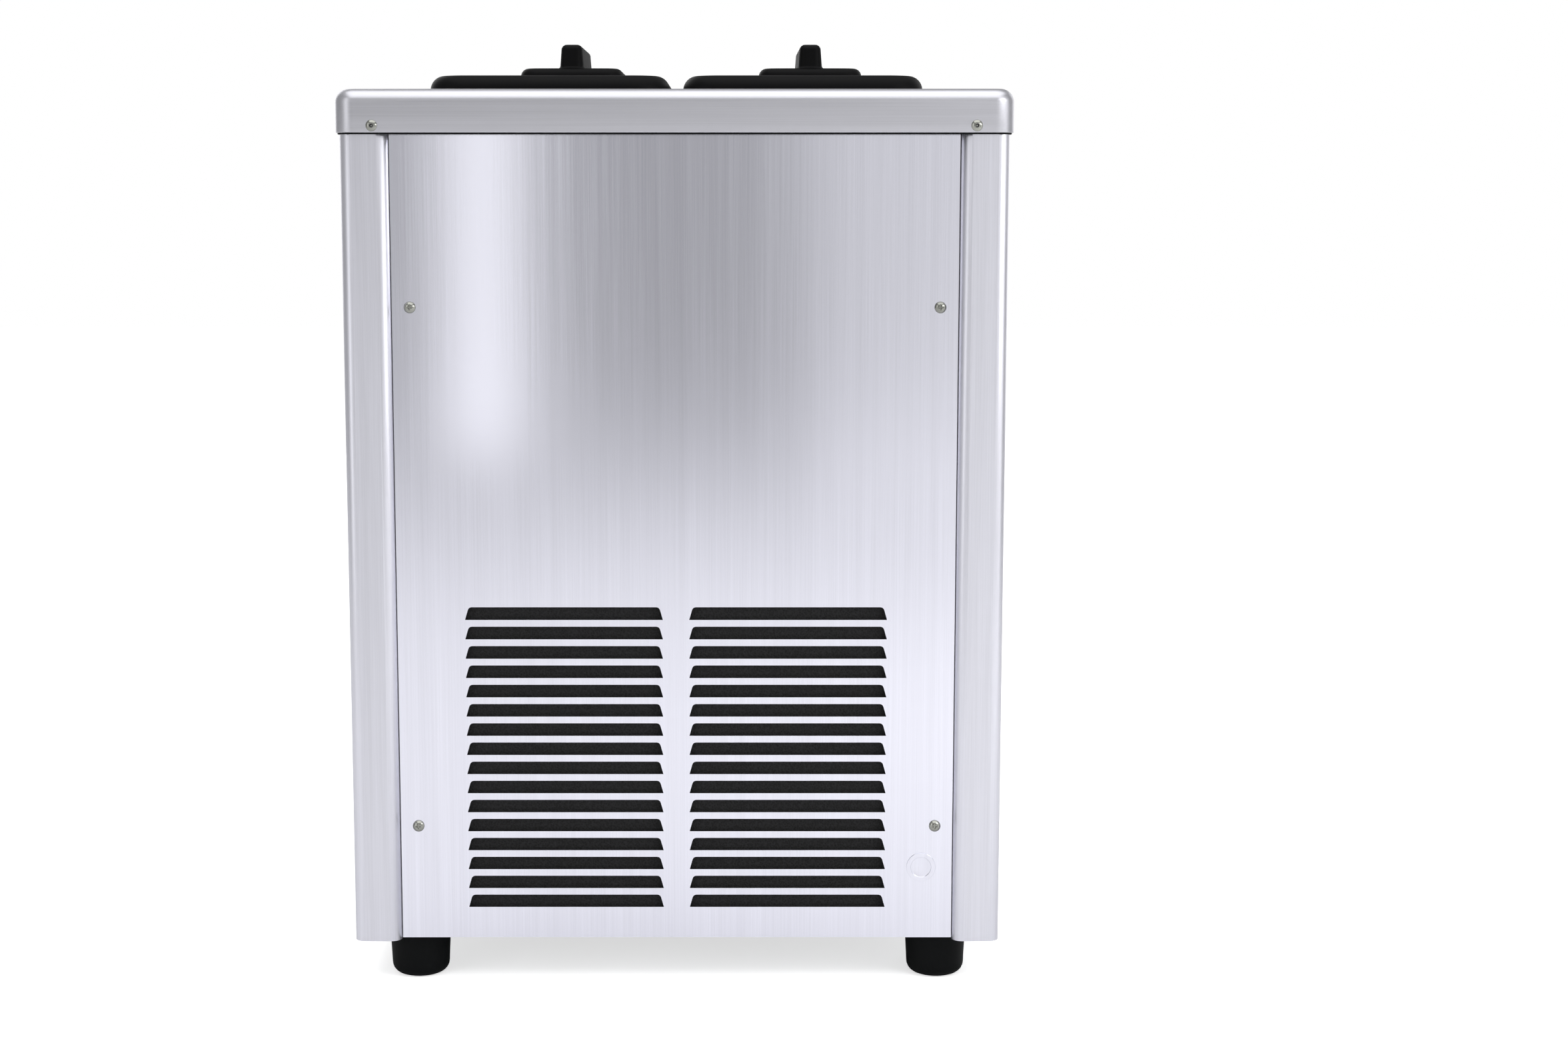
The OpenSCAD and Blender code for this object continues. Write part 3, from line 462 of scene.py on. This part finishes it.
def surface(name: str, grids: list[Grid], wrap: tuple[bool, bool] = (False, True),
            sharp: float = 35.0) -> bpy.types.Object:
    """Put grids of points into one mesh object, with doubles merged and faces turned outwards.

    Args:
        name: Name of the piece.
        grids: Arrays of rows by columns by three coordinates.
        wrap: Whether rows and columns close on themselves.
        sharp: Edges that bend by more than this many degrees stay crisp.

    Returns:
        The new object, at the origin.
    """
    faces, start = [], 0
    for grid in grids:
        faces.append(quads(grid.shape[0], grid.shape[1], *wrap) + start)
        start += grid.shape[0] * grid.shape[1]
    points = np.concatenate([grid.reshape(-1, 3) for grid in grids]).astype(np.float32)
    corners = np.concatenate(faces).astype(np.int32)
    mesh = bpy.data.meshes.new(name)
    mesh.vertices.add(len(points))
    mesh.vertices.foreach_set("co", points.ravel())
    mesh.loops.add(corners.size)
    mesh.loops.foreach_set("vertex_index", corners.ravel())
    mesh.polygons.add(len(corners))
    mesh.polygons.foreach_set("loop_start", np.arange(0, corners.size, 4, dtype=np.int32))
    mesh.update(calc_edges=True)
    mesh.validate()
    tidy = bmesh.new()
    tidy.from_mesh(mesh)
    bmesh.ops.remove_doubles(tidy, verts=tidy.verts, dist=1e-6)
    bmesh.ops.dissolve_degenerate(tidy, edges=tidy.edges, dist=1e-7)
    bmesh.ops.recalc_face_normals(tidy, faces=tidy.faces)
    tidy.to_mesh(mesh)
    tidy.free()
    mesh.shade_smooth()
    mesh.set_sharp_from_angle(angle=math.radians(sharp))
    piece = bpy.data.objects.new(name, mesh)
    bpy.context.scene.collection.objects.link(piece)
    return piece


def dress(piece: bpy.types.Object, finish: Finish, body: str,
          stands_for: tuple[str, ...] = ()) -> bpy.types.Object:
    """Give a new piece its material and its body.

    Args:
        piece: The new piece.
        finish: Its finish.
        body: The CAD body that it rides on.
        stands_for: CAD nodes that it replaces.

    Returns:
        The same piece.
    """
    piece.data.materials.clear()
    piece.data.materials.append(FINISHES.get(finish))
    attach(piece, body)
    if stands_for:
        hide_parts(*stands_for)
    LOG.info("%s: %d faces, on %s", piece.name, len(piece.data.polygons), body)
    return piece


def ring(width: float | Grid, depth: float | Grid, corner: float | Grid, steps: int = 10) -> Grid:
    """Rounded rectangles about the origin, one for each width given.

    Each is four quarter circles whose centres stand in from its corners by the radius:
    a point is the centre plus radius times (cosine, sine) of its angle.

    Args:
        width: Size along X, one or many.
        depth: Size along Y.
        corner: Corner radius.
        steps: Steps in each quarter circle.

    Returns:
        Rings by points by two coordinates.
    """
    width, depth, corner = (np.atleast_1d(np.asarray(v, float))[:, None] for v in (width, depth, corner))
    corner = np.minimum(corner, np.minimum(width, depth) / 2)
    quarter = np.repeat(np.arange(4), steps + 1)
    angle = quarter * math.pi / 2 + np.tile(np.linspace(0, math.pi / 2, steps + 1), 4)
    side_x = np.where((quarter == 0) | (quarter == 3), 1, -1)
    side_y = np.where(quarter < 2, 1, -1)
    x = side_x * (width / 2 - corner) + corner * np.cos(angle)
    y = side_y * (depth / 2 - corner) + corner * np.sin(angle)
    return np.stack([x, y], -1)


@dataclass
class Profile:
    """A chain of (inset, height) points that a rounded rectangle follows as it rises."""

    points: list[tuple[float, float]] = field(default_factory=list)

    def to(self, inset: float, height: float) -> "Profile":
        """Go straight to a point."""
        self.points.append((inset, height))
        return self

    def bend(self, inset: float, height: float, radius: float, start: float, end: float,
             steps: int = 8) -> "Profile":
        """Go round an arc about (inset, height).

        Angle 0 points outwards, so an inset falls as the cosine grows, and 90 points up.

        Args:
            inset: Inset of the arc's centre.
            height: Height of the arc's centre.
            radius: The arc's radius.
            start: Its first angle, in degrees.
            end: Its last angle, in degrees.
            steps: Steps along it.

        Returns:
            The same chain.
        """
        angles = np.radians(np.linspace(start, end, steps + 1))
        self.points += [(inset - radius * math.cos(a), height + radius * math.sin(a)) for a in angles]
        return self

    def grid(self, width: float, depth: float, corner: float, centre: tuple[float, float],
             steps: int = 10) -> Grid:
        """The surface of a rounded rectangle that follows the chain.

        Each ring is the outline, stood in by the chain's inset, at the chain's height.

        Args:
            width: The outline's size along X.
            depth: Its size along Y.
            corner: Its corner radius.
            centre: X and Y of its middle.
            steps: Steps in each corner.

        Returns:
            A grid of rows by columns by three.
        """
        inset, height = np.array(self.points).T
        flat = ring(width - 2 * inset, depth - 2 * inset, np.maximum(corner - inset, 0.2 * MM), steps)
        level = np.broadcast_to(height[:, None, None], flat.shape[:2] + (1,))
        return np.concatenate([flat + np.array(centre), level], -1)


def lathe(profile: list[tuple[float, float]], steps: int = 48) -> Grid:
    """A surface of revolution about Z: each (radius, height) point goes round a circle.

    Args:
        profile: Radius and height of each point.
        steps: Points round the circle.

    Returns:
        A grid of rows by columns by three.
    """
    radius, height = np.array(profile, float).T
    angle = np.linspace(0, 2 * math.pi, steps, endpoint=False)
    x = radius[:, None] * np.cos(angle)
    y = radius[:, None] * np.sin(angle)
    z = np.broadcast_to(height[:, None], x.shape)
    return np.stack([x, y, z], -1)


def placed(grid: Grid, matrix: Matrix) -> Grid:
    """The grid's points carried through a 4x4 matrix."""
    m = np.array(matrix)
    return grid @ m[:3, :3].T + m[:3, 3]


@dataclass
class HopperLids:
    """The two moulded lids: a wide dome, a raised step and an upright handle."""

    corner: float = 30 * MM
    edge: float = 11.5 * MM
    top: float = 13 * MM
    rim_gap: float = 0.4 * MM
    step_size: tuple[float, float] = (87 * MM, 150 * MM)
    step_height: float = 9 * MM
    step_edge: float = 6.5 * MM
    step_corner: float = 15 * MM
    step_fillet: float = 2 * MM
    handle_size: tuple[float, float] = (20 * MM, 134 * MM)
    handle_edge: float = 4.5 * MM
    handle_corner: float = 6.5 * MM
    handle_fillet: float = 2.5 * MM
    left_shift: float = -8 * MM
    right_shift: float = -14 * MM
    draft: float = 1.0 * MM
    wall: float = 2.5 * MM
    skirt: tuple[float, float] = (16.5 * MM, 14.5 * MM)
    groove_height: float = 2.7 * MM
    rim_width: float = 2.3 * MM
    rim_foot: float = 0.5 * MM
    rim_edge: float = 0.6 * MM

    def build(self) -> None:
        """Build one lid on each hopper."""
        self.lid("left", self.left_shift)
        self.lid("right", self.right_shift)

    def lid(self, side: str, shift: float) -> None:
        """Build one lid as a closed skin, from the middle of its underside to its handle's top.

        The underside is a ceiling, a skirt that hangs in the hopper's mouth and a groove for its rim.

        Args:
            side: "left" or "right".
            shift: How far along X its step and handle stand from its middle.
        """
        low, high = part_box(f"{side}_lid")
        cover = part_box("top_cover")[1].z
        centre = ((low.x + high.x) / 2, (low.y + high.y) / 2)
        width, depth = high.x - low.x, high.y - low.y
        top = cover + self.top
        rim = cover + self.rim_gap
        ceiling, groove = top - self.wall, cover + self.groove_height
        inner, outer = self.skirt
        under = Profile().to(width / 2, ceiling).to(inner, ceiling)
        under.to(inner, low.z).to(outer, low.z).to(outer, groove)
        under.to(self.rim_width, groove).to(self.rim_width, rim).to(self.rim_foot, rim)
        under.bend(self.rim_edge, rim + self.rim_edge, self.rim_edge, -90, 0, 4)
        under.bend(self.edge, top - self.edge, self.edge, 0, 90, 14)
        base = under.grid(width, depth, self.corner, centre, 14)
        off_centre = (centre[0] + shift, centre[1])
        step_top = top + self.step_height
        step = Profile().bend(-self.step_fillet, top + self.step_fillet, self.step_fillet, -90, -180, 5)
        step.bend(self.step_edge, step_top - self.step_edge, self.step_edge, 0, 90, 10)
        raised = step.grid(*self.step_size, self.step_corner, off_centre, 14)
        fillet = self.handle_fillet
        handle = Profile().bend(-fillet, step_top + fillet, fillet, -90, -180, 5)
        handle.bend(self.draft + self.handle_edge, high.z - self.handle_edge, self.handle_edge, 0, 90, 8)
        handle.to(self.handle_size[0] / 2, high.z)
        grip = handle.grid(*self.handle_size, self.handle_corner, off_centre, 14)
        piece = surface(f"{side}_lid_moulding", [np.concatenate([base, raised, grip])])
        dress(piece, LID_PLASTIC, f"{side}_lid_body", (f"{side}_lid",))


@dataclass
class TopCover:
    """The folded top: a flat plate with two hopper cut-outs, a rolled edge and an apron."""

    corner: float = 16 * MM
    bend: float = 10.5 * MM
    sheet: float = 1.2 * MM
    hem: float = 0.7 * MM
    return_height: float = 7 * MM
    cut_corner: float = 23 * MM
    cut_size: tuple[float, float] = (173 * MM, 293 * MM)
    outline_steps: int = 420
    halvings: int = 40

    def build(self) -> None:
        """Build the roll, the apron and its hem as one band, and the plate as rings round the cut-outs.

        The plate's rings are straight lines from each cut-out's edge to the roll, along rays
        from the cut-out's middle.
        """
        low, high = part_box("top_cover")
        width, depth = high.x - low.x, high.y - low.y
        centre = (0.0, (low.y + high.y) / 2)
        band = Profile().to(self.sheet, low.z + self.return_height).to(self.sheet, low.z + self.hem)
        band.bend(self.hem, low.z + self.hem, self.hem, -180, 0, 8)
        band.bend(self.bend, high.z - self.bend, self.bend, 0, 90, 14)
        skirt = band.grid(width, depth, self.corner, centre, 16)
        piece = surface("top_cover_apron", [skirt])
        dress(piece, COVER_STEEL, "cabinet", ("top_cover",))
        self.plate(width - 2 * self.bend, depth - 2 * self.bend, centre, high.z)

    def plate(self, width: float, depth: float, centre: tuple[float, float], top: float) -> None:
        """Build the flat plate with its two cut-outs.

        Args:
            width: Its size along X.
            depth: Its size along Y.
            centre: X and Y of its middle.
            top: Height of its upper face.
        """
        grids = []
        for side in ("left", "right"):
            low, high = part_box(f"{side}_hopper")
            hole_centre = np.array([(low.x + high.x) / 2, (low.y + high.y) / 2])
            sign = np.sign(hole_centre[0])
            outline = self.half_outline(width, depth, sign) + np.array(centre)
            ray = outline - hole_centre
            hole = hole_centre + self.reach(ray)[:, None] * ray
            flat = np.stack([hole, outline])
            level = np.full(flat.shape[:2] + (1,), top)
            lip = np.concatenate([flat[:1], np.full((1, flat.shape[1], 1), top - self.sheet)], -1)
            grids.append(np.concatenate([lip, np.concatenate([flat, level], -1)]))
        piece = surface("top_cover_plate", grids)
        dress(piece, COVER_STEEL, "cabinet")

    def half_outline(self, width: float, depth: float, sign: float) -> Grid:
        """One half of the plate's outline, split down the middle, at an even spacing.

        Args:
            width: The whole plate's size along X.
            depth: Its size along Y.
            sign: -1 for the half towards -X, 1 for the other.

        Returns:
            Points by two coordinates, about the plate's middle.
        """
        corner = self.corner - self.bend
        points = ring(width, depth, corner, 8)[0]
        half = points[points[:, 0] * sign > 0]
        half = half[np.argsort(np.arctan2(half[:, 1], half[:, 0] * sign))]
        loop = np.concatenate([[[0, -depth / 2]], half, [[0, depth / 2]], [[0, -depth / 2]]])
        step = np.r_[0, np.cumsum(np.linalg.norm(np.diff(loop, axis=0), axis=1))]
        even = np.unique(np.concatenate([np.linspace(0, step[-1], self.outline_steps), step]))[:-1]
        return np.stack([np.interp(even, step, loop[:, 0]), np.interp(even, step, loop[:, 1])], -1)

    def reach(self, ray: Grid) -> Grid:
        """How far along each ray the cut-out's rounded rectangle lies, found by halving.

        A point is outside when it is further from the rectangle of corner centres than the radius.

        Args:
            ray: Vectors from the cut-out's middle to the plate's outline.

        Returns:
            A share of each ray's length, from 0 to 1.
        """
        near, far = np.zeros(len(ray)), np.ones(len(ray))
        half_w, half_d, corner = self.cut_size[0] / 2, self.cut_size[1] / 2, self.cut_corner
        for _ in range(self.halvings):
            middle = (near + far) / 2
            point = np.abs(ray * middle[:, None]) - np.array([half_w - corner, half_d - corner])
            outside = np.linalg.norm(np.maximum(point, 0), axis=1) + np.minimum(point.max(1), 0) > corner
            far, near = np.where(outside, middle, far), np.where(outside, near, middle)
        return near


@dataclass
class CoverGapShade:
    """A black strip tucked under the cover's apron: painted shade that stands in for the shadow in the gap
    between the apron and the body.
    """

    outset: float = 1.35 * MM
    thickness: float = 1.2 * MM
    drop: float = 1.3 * MM
    height: float = 9 * MM
    chamfer: float = 0.3 * MM
    corner: float = 16 * MM

    def build(self) -> None:
        """Build the strip as a rounded rectangle's band, whose black shows as a painted shadow line under the
        apron.
        """
        low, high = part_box("top_cover")
        outer, inner = self.outset, self.outset + self.thickness
        foot, head = low.z - self.drop, low.z + self.height
        band = Profile().to(inner, head).to(inner, foot + self.chamfer).to(inner - self.chamfer, foot)
        band.to(outer + self.chamfer, foot).to(outer, foot + self.chamfer).to(outer, head).to(inner, head)
        centre = ((low.x + high.x) / 2, (low.y + high.y) / 2)
        grid = band.grid(high.x - low.x, high.y - low.y, self.corner, centre, 12)
        # The strip's black rubber is painted shade: it draws the shadow line of the gap under the apron.
        dress(surface("cover_gap_painted_shade", [grid]), FOOT_RUBBER, "cabinet")


@dataclass
class RivetStems:
    """The broken stems in the middle of the cover's blind rivets, coloured near black as painted shade for
    each rivet's hole.
    """

    radius: float = 1.48 * MM
    depth: float = 0.62 * MM
    inset: float = 4.8 * MM
    dish: float = 0.1 * MM
    lip: float = 0.35 * MM
    back: float = 0.2 * MM

    def build(self) -> None:
        """Build each stem's end as a shallow turned cup, at the bottom of its rivet's hole."""
        low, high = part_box("cover_rivets")
        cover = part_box("top_cover")
        level = (low.z + high.z) / 2
        cup = lathe([(0, -self.dish), (self.radius * 0.6, 0), (self.radius, self.lip),
                     (self.radius, -self.back), (0, -self.back)], 24)
        grids = []
        for x in (low.x + self.inset, high.x - self.inset):
            for y, turn in ((cover[1].y + self.depth, -90), (cover[0].y - self.depth, 90)):
                spot = Matrix.Translation((x, y, level)) @ Matrix.Rotation(math.radians(turn), 4, "X")
                grids.append(placed(cup, spot))
        # The stems' near-black finish is painted shade for the rivets' holes.
        dress(surface("rivet_stems_painted_shade", grids), RIVET_HOLE_SHADE, "cabinet")


@dataclass
class LeverGrips:
    """Black grips pushed over the draw levers' flared ends."""

    lean: float = 20.0
    start: float = 35 * MM
    end: float = 84 * MM
    lower: float = 8.5 * MM
    upper: float = 12.5 * MM
    bore: float = 5.1 * MM
    foot_chamfer: tuple[float, float] = (0.8 * MM, 0.4 * MM)
    groove_depth: float = 0.5 * MM
    groove_places: tuple[float, float] = (0.16, 0.3)
    groove_width: float = 0.035

    def build(self) -> None:
        """Build each grip by turning a flared profile with a round head about its lever's arm."""
        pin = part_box("lever_pin")
        axis = Vector((0, (pin[0].y + pin[1].y) / 2, (pin[0].z + pin[1].z) / 2))
        for side in ("left", "centre", "right"):
            low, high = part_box(f"{side}_lever")
            foot = Vector(((low.x + high.x) / 2, axis.y, axis.z))
            turn = Matrix.Translation(foot) @ Matrix.Rotation(math.radians(self.lean), 4, "X")
            grip = placed(lathe(self.profile(), 48), turn)
            piece = surface(f"{side}_lever_grip", [grip], sharp=50)
            dress(piece, BLACK_PLASTIC, f"{side}_draw")

    def profile(self) -> list[tuple[float, float]]:
        """Draw the grip from its foot, past two shallow grooves, to its head.

        A groove is a bell curve taken off the radius; its places and width are shares of the length.

        Returns:
            Radius and height of each point.
        """
        flare = np.linspace(0, 1, 40)
        groove = self.groove_depth * sum(np.exp(-((flare - place) / self.groove_width) ** 2)
                                         for place in self.groove_places)
        radius = self.lower + (self.upper - self.lower) * flare - groove
        height = self.start + (self.end - self.start) * flare
        angle = np.radians(np.linspace(4, 90, 16))
        foot = [(self.bore, self.start),
                (self.lower - self.foot_chamfer[0], self.start - self.foot_chamfer[1])]
        head = [(max(self.upper * math.cos(a), 0.0), self.end + self.upper * math.sin(a)) for a in angle]
        return foot + list(zip(radius, height)) + head


@dataclass
class ControlFace:
    """What shows on the control strip: a display window with its lamps, and each button's ring."""

    window: tuple[float, float] = (119 * MM, 35 * MM)
    window_x: float = -90 * MM
    window_corner: float = 2 * MM
    window_edge: float = 0.25 * MM
    window_depth: float = 0.85 * MM
    window_back: float = 0.95 * MM
    lamp_size: tuple[float, float] = (4.2 * MM, 9 * MM)
    lamp_corner: float = 0.8 * MM
    lamp_edge: float = 0.08 * MM
    lamp_depth: float = 0.15 * MM
    lamp_back: float = 0.12 * MM
    lamp_pitch: float = 7 * MM
    lamps: int = 8
    ring: tuple[float, float] = (10.4 * MM, 11.6 * MM)
    ring_depth: float = 0.12 * MM
    face: float = 0.0
    level: float = 0.0

    def build(self) -> None:
        """Build the window, its lamps and the rings, each turned to face the front."""
        low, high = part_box("control_fascia")
        self.face = low.y
        self.level = (low.z + high.z) / 2
        glass = self.slab(self.window, self.window_corner, self.window_edge, self.window_depth,
                          (self.window_x, self.window_back))
        dress(surface("display_window", [glass]), DISPLAY_GLASS, "cabinet")
        first = self.window_x - self.lamp_pitch * (self.lamps - 1) / 2
        bars = [self.slab(self.lamp_size, self.lamp_corner, self.lamp_edge, self.lamp_depth,
                          (first + i * self.lamp_pitch, self.lamp_back), 3) for i in range(self.lamps)]
        dress(surface("display_bars", bars), LAMP_WHITE, "cabinet")
        for name in ("auto_button", "wash_button", "stop_button"):
            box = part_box(name)
            (inner, outer), height = self.ring, self.ring_depth
            band = lathe([(inner, 0), (inner, height), (outer, height), (outer, 0), (inner, 0)], 64)
            band = placed(band, self.facing(((box[0].x + box[1].x) / 2, 0.0)))
            dress(surface(f"{name}_ring", [band]), PRINT_WHITE, "cabinet")

    def facing(self, place: tuple[float, float]) -> Matrix:
        """Turn a flat shape to face the front at (X, distance behind the strip's face)."""
        spot = Vector((place[0], self.face + place[1], self.level))
        return Matrix.Translation(spot) @ Matrix.Rotation(math.radians(90), 4, "X")

    def slab(self, size: tuple[float, float], corner: float, edge: float, height: float,
             place: tuple[float, float], steps: int = 6) -> Grid:
        """A thin closed slab with rounded corners and a chamfered face, turned to the front.

        Args:
            size: Its width and height.
            corner: Radius of its corners.
            edge: Size of the chamfer round its face.
            height: Its thickness.
            place: X of its middle, and how far its back lies behind the strip's face.
            steps: Steps in each corner.

        Returns:
            Its grid of points.
        """
        middle = min(size) / 2
        shape = Profile().to(middle, 0).to(0, 0).to(0, height - edge).to(edge, height).to(middle, height)
        return placed(shape.grid(*size, corner, (0.0, 0.0), steps), self.facing(place))


@dataclass
class Carried:
    """The CAD pieces whose shape is already right: each gets its slot's material.

    The pieces in `softened` also get their sharp edges rounded by the radius given, as a
    folded, moulded or deburred edge is.
    """

    softened: dict[str, float] = field(default_factory=lambda: {
        "left_side_panel": 0.5 * MM, "right_side_panel": 0.5 * MM, "rear_panel": 0.35 * MM,
        "feet": 0.8 * MM, "rear_panel_screws": 0.25 * MM,
        "cover_rivets": 0.2 * MM, "dispensing_head": 1.2 * MM, "front_panel": 0.4 * MM,
        "nozzle_caps": 0.8 * MM, "drip_tray": 0.5 * MM, "drip_grid": 0.3 * MM,
        "control_fascia": 0.7 * MM, "left_lever": 0.5 * MM, "centre_lever": 0.5 * MM,
        "right_lever": 0.5 * MM, "auto_button": 0.6 * MM, "wash_button": 0.6 * MM,
        "stop_button": 0.6 * MM, "power_rocker": 0.6 * MM, "left_hopper": 0.4 * MM,
        "right_hopper": 0.4 * MM, "cord_gland": 0.3 * MM, "base_pan": 0.4 * MM,
        "lever_pin": 0.5 * MM, "left_feed_tube": 0.5 * MM, "right_feed_tube": 0.5 * MM,
    })
    same_point: float = 0.001 * MM
    same_plane: float = 0.3
    sharp: float = 40.0

    def build(self) -> None:
        """Dress every CAD node by its slot in the record, and round the softened ones."""
        slots = {part["node"]: part["material_slot"] for part in frame["record"]["subparts"]}
        for name, node in frame["nodes"].items():
            node.data.materials.clear()
            node.data.materials.append(FINISHES.get(SLOT_FINISHES[slots[name]]))
            if name in self.softened:
                self.soften(node, self.softened[name])
            LOG.info("%s: CAD piece in %s", name, slots[name])

    def soften(self, node: bpy.types.Object, radius: float) -> None:
        """Merge the piece's loose triangles into whole flat faces, then round its sharp edges.

        Args:
            node: The CAD piece.
            radius: Radius of its edges.
        """
        weld = node.modifiers.new("weld", "WELD")
        weld.merge_threshold = self.same_point
        flatten = node.modifiers.new("whole_faces", "DECIMATE")
        flatten.decimate_type, flatten.angle_limit = "DISSOLVE", math.radians(self.same_plane)
        bevel = node.modifiers.new("edge_radius", "BEVEL")
        bevel.width, bevel.segments = radius, 2
        bevel.limit_method, bevel.angle_limit = "ANGLE", math.radians(self.sharp)
        bevel.use_clamp_overlap = True
        bevel.harden_normals = True


@dataclass(frozen=True)
class SoftLight:
    """A soft rectangular light that the camera itself doesn't see."""

    name: str
    place: tuple[float, float, float]
    target: tuple[float, float, float]
    size: tuple[float, float]
    power: float

    def hang(self) -> None:
        """Add the light to the scene, turned to its target."""
        data = bpy.data.lights.new(self.name, "AREA")
        data.shape, data.size, data.size_y = "RECTANGLE", *self.size
        data.energy = self.power
        light = bpy.data.objects.new(self.name, data)
        light.location = self.place
        aim = Vector(self.target) - Vector(self.place)
        light.rotation_euler = aim.to_track_quat("-Z", "Y").to_euler()
        light.visible_camera = False
        bpy.context.scene.collection.objects.link(light)


# Places and targets in metres, then width and height, then watts.
LIGHTS = (
    # Mirrored in the back panel as its bright upright band.
    SoftLight("strip", (0.355, 2.4, 0.87), (0.15, 0.36, 0.87), (0.085, 1.3), 0.58),
    # Softboxes either side of the back and behind the camera.
    SoftLight("key", (2.8, 2.7, 1.1), (0, 0.3, 0.5), (1.4, 3.0), 18),
    SoftLight("side_fill", (-2.9, 1.3, 0.8), (0, 0.3, 0.4), (1.4, 1.6), 7),
    SoftLight("fill", (-1.35, 3.1, 0.8), (-0.3, 0.3, 0.4), (2.5, 1.9), 6),
    # One on each side of the dispensing front.
    SoftLight("front_key", (1.8, -3.0, 1.6), (0, -0.2, 0.5), (2.2, 2.4), 25),
    SoftLight("front_fill", (-2.4, -2.6, 1.4), (0, -0.2, 0.5), (2.0, 2.2), 15),
    # From above, and low onto the floor, whose reflection lifts the back panel's lower half.
    SoftLight("overhead", (-0.2, 1.4, 3.2), (-0.2, 1.4, 0), (4, 4), 84),
    SoftLight("floor_wash", (-1.3, 1.3, 1.1), (-0.8, 1.1, 0), (0.8, 0.8), 9),
)


@dataclass
class Studio:
    """A pale floor, soft lights and the camera."""

    lens: float = 57.3
    distance: float = 2.0
    pitch: float = 7.79
    height: float = 0.6615
    sideways: float = -0.045
    shift: float = 0.0337
    floor_reach: float = 9.0
    floor_glow: float = 0.62
    room_light: float = 0.44

    def build(self) -> None:
        """Make the camera, the floor, the lights and the world."""
        self.camera()
        self.floor()
        self.lights()
        self.world()

    def camera(self) -> None:
        """Place the camera behind the machine, looking towards -Y and a little down."""
        data = bpy.data.cameras.new("camera")
        data.lens, data.sensor_width, data.shift_x = self.lens, 36.0, self.shift
        camera = bpy.data.objects.new("camera", data)
        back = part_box("left_side_panel")[1].y
        camera.location = (self.sideways, back + self.distance, self.height)
        camera.rotation_euler = (math.radians(90 - self.pitch), 0, math.pi)
        bpy.context.scene.collection.objects.link(camera)
        bpy.context.scene.camera = camera

    def floor(self) -> None:
        """Lay a wide pale floor under the feet, which glows to the camera alone."""
        span = np.linspace(-self.floor_reach, self.floor_reach, 3)
        x, y = np.meshgrid(span, span, indexing="ij")
        floor = surface("floor", [np.stack([x, y, np.zeros_like(x)], -1)], (False, False))
        material = bpy.data.materials.new("pale_floor")
        material.use_nodes = True
        shader = material.node_tree.nodes["Principled BSDF"]
        shader.inputs["Base Color"].default_value = (0.92, 0.92, 0.925, 1)
        shader.inputs["Roughness"].default_value = 0.7
        shader.inputs["Specular IOR Level"].default_value = 0.1
        shader.inputs["Emission Color"].default_value = (1, 1, 1, 1)
        seen = add(material.node_tree, "ShaderNodeLightPath").outputs["Is Camera Ray"]
        glow = add(material.node_tree, "ShaderNodeMapRange", inputs={
            "Value": seen, "To Min": 0.0, "To Max": self.floor_glow})
        material.node_tree.links.new(glow.outputs["Result"], shader.inputs["Emission Strength"])
        floor.data.materials.append(material)

    def lights(self) -> None:
        """Hang every light."""
        for light in LIGHTS:
            light.hang()

    def world(self) -> None:
        """Surround the scene with soft white light, and put plain white behind the machine.

        What the steel mirrors is dimmer than the white that stands behind it.
        """
        world = bpy.data.worlds.new("soft_white")
        world.use_nodes = True
        tree = world.node_tree
        seen = add(tree, "ShaderNodeLightPath").outputs["Is Camera Ray"]
        level = add(tree, "ShaderNodeMapRange", inputs={
            "Value": seen, "To Min": self.room_light, "To Max": 1.0})
        tree.nodes["Background"].inputs["Color"].default_value = (1, 1, 1, 1)
        tree.links.new(level.outputs["Result"], tree.nodes["Background"].inputs["Strength"])
        bpy.context.scene.world = world
        bpy.context.scene.view_settings.view_transform = "Standard"


def main() -> None:
    """Build the studio and every sub-assembly."""
    logging.basicConfig(level=logging.INFO, format="%(message)s", stream=sys.stdout)
    for assembly in (Studio(), Carried(), TopCover(), CoverGapShade(), RivetStems(), HopperLids(), LeverGrips(),
                     ControlFace()):
        assembly.build()
        LOG.info("%s: done", type(assembly).__name__)


if __name__ == "__main__":
    main()
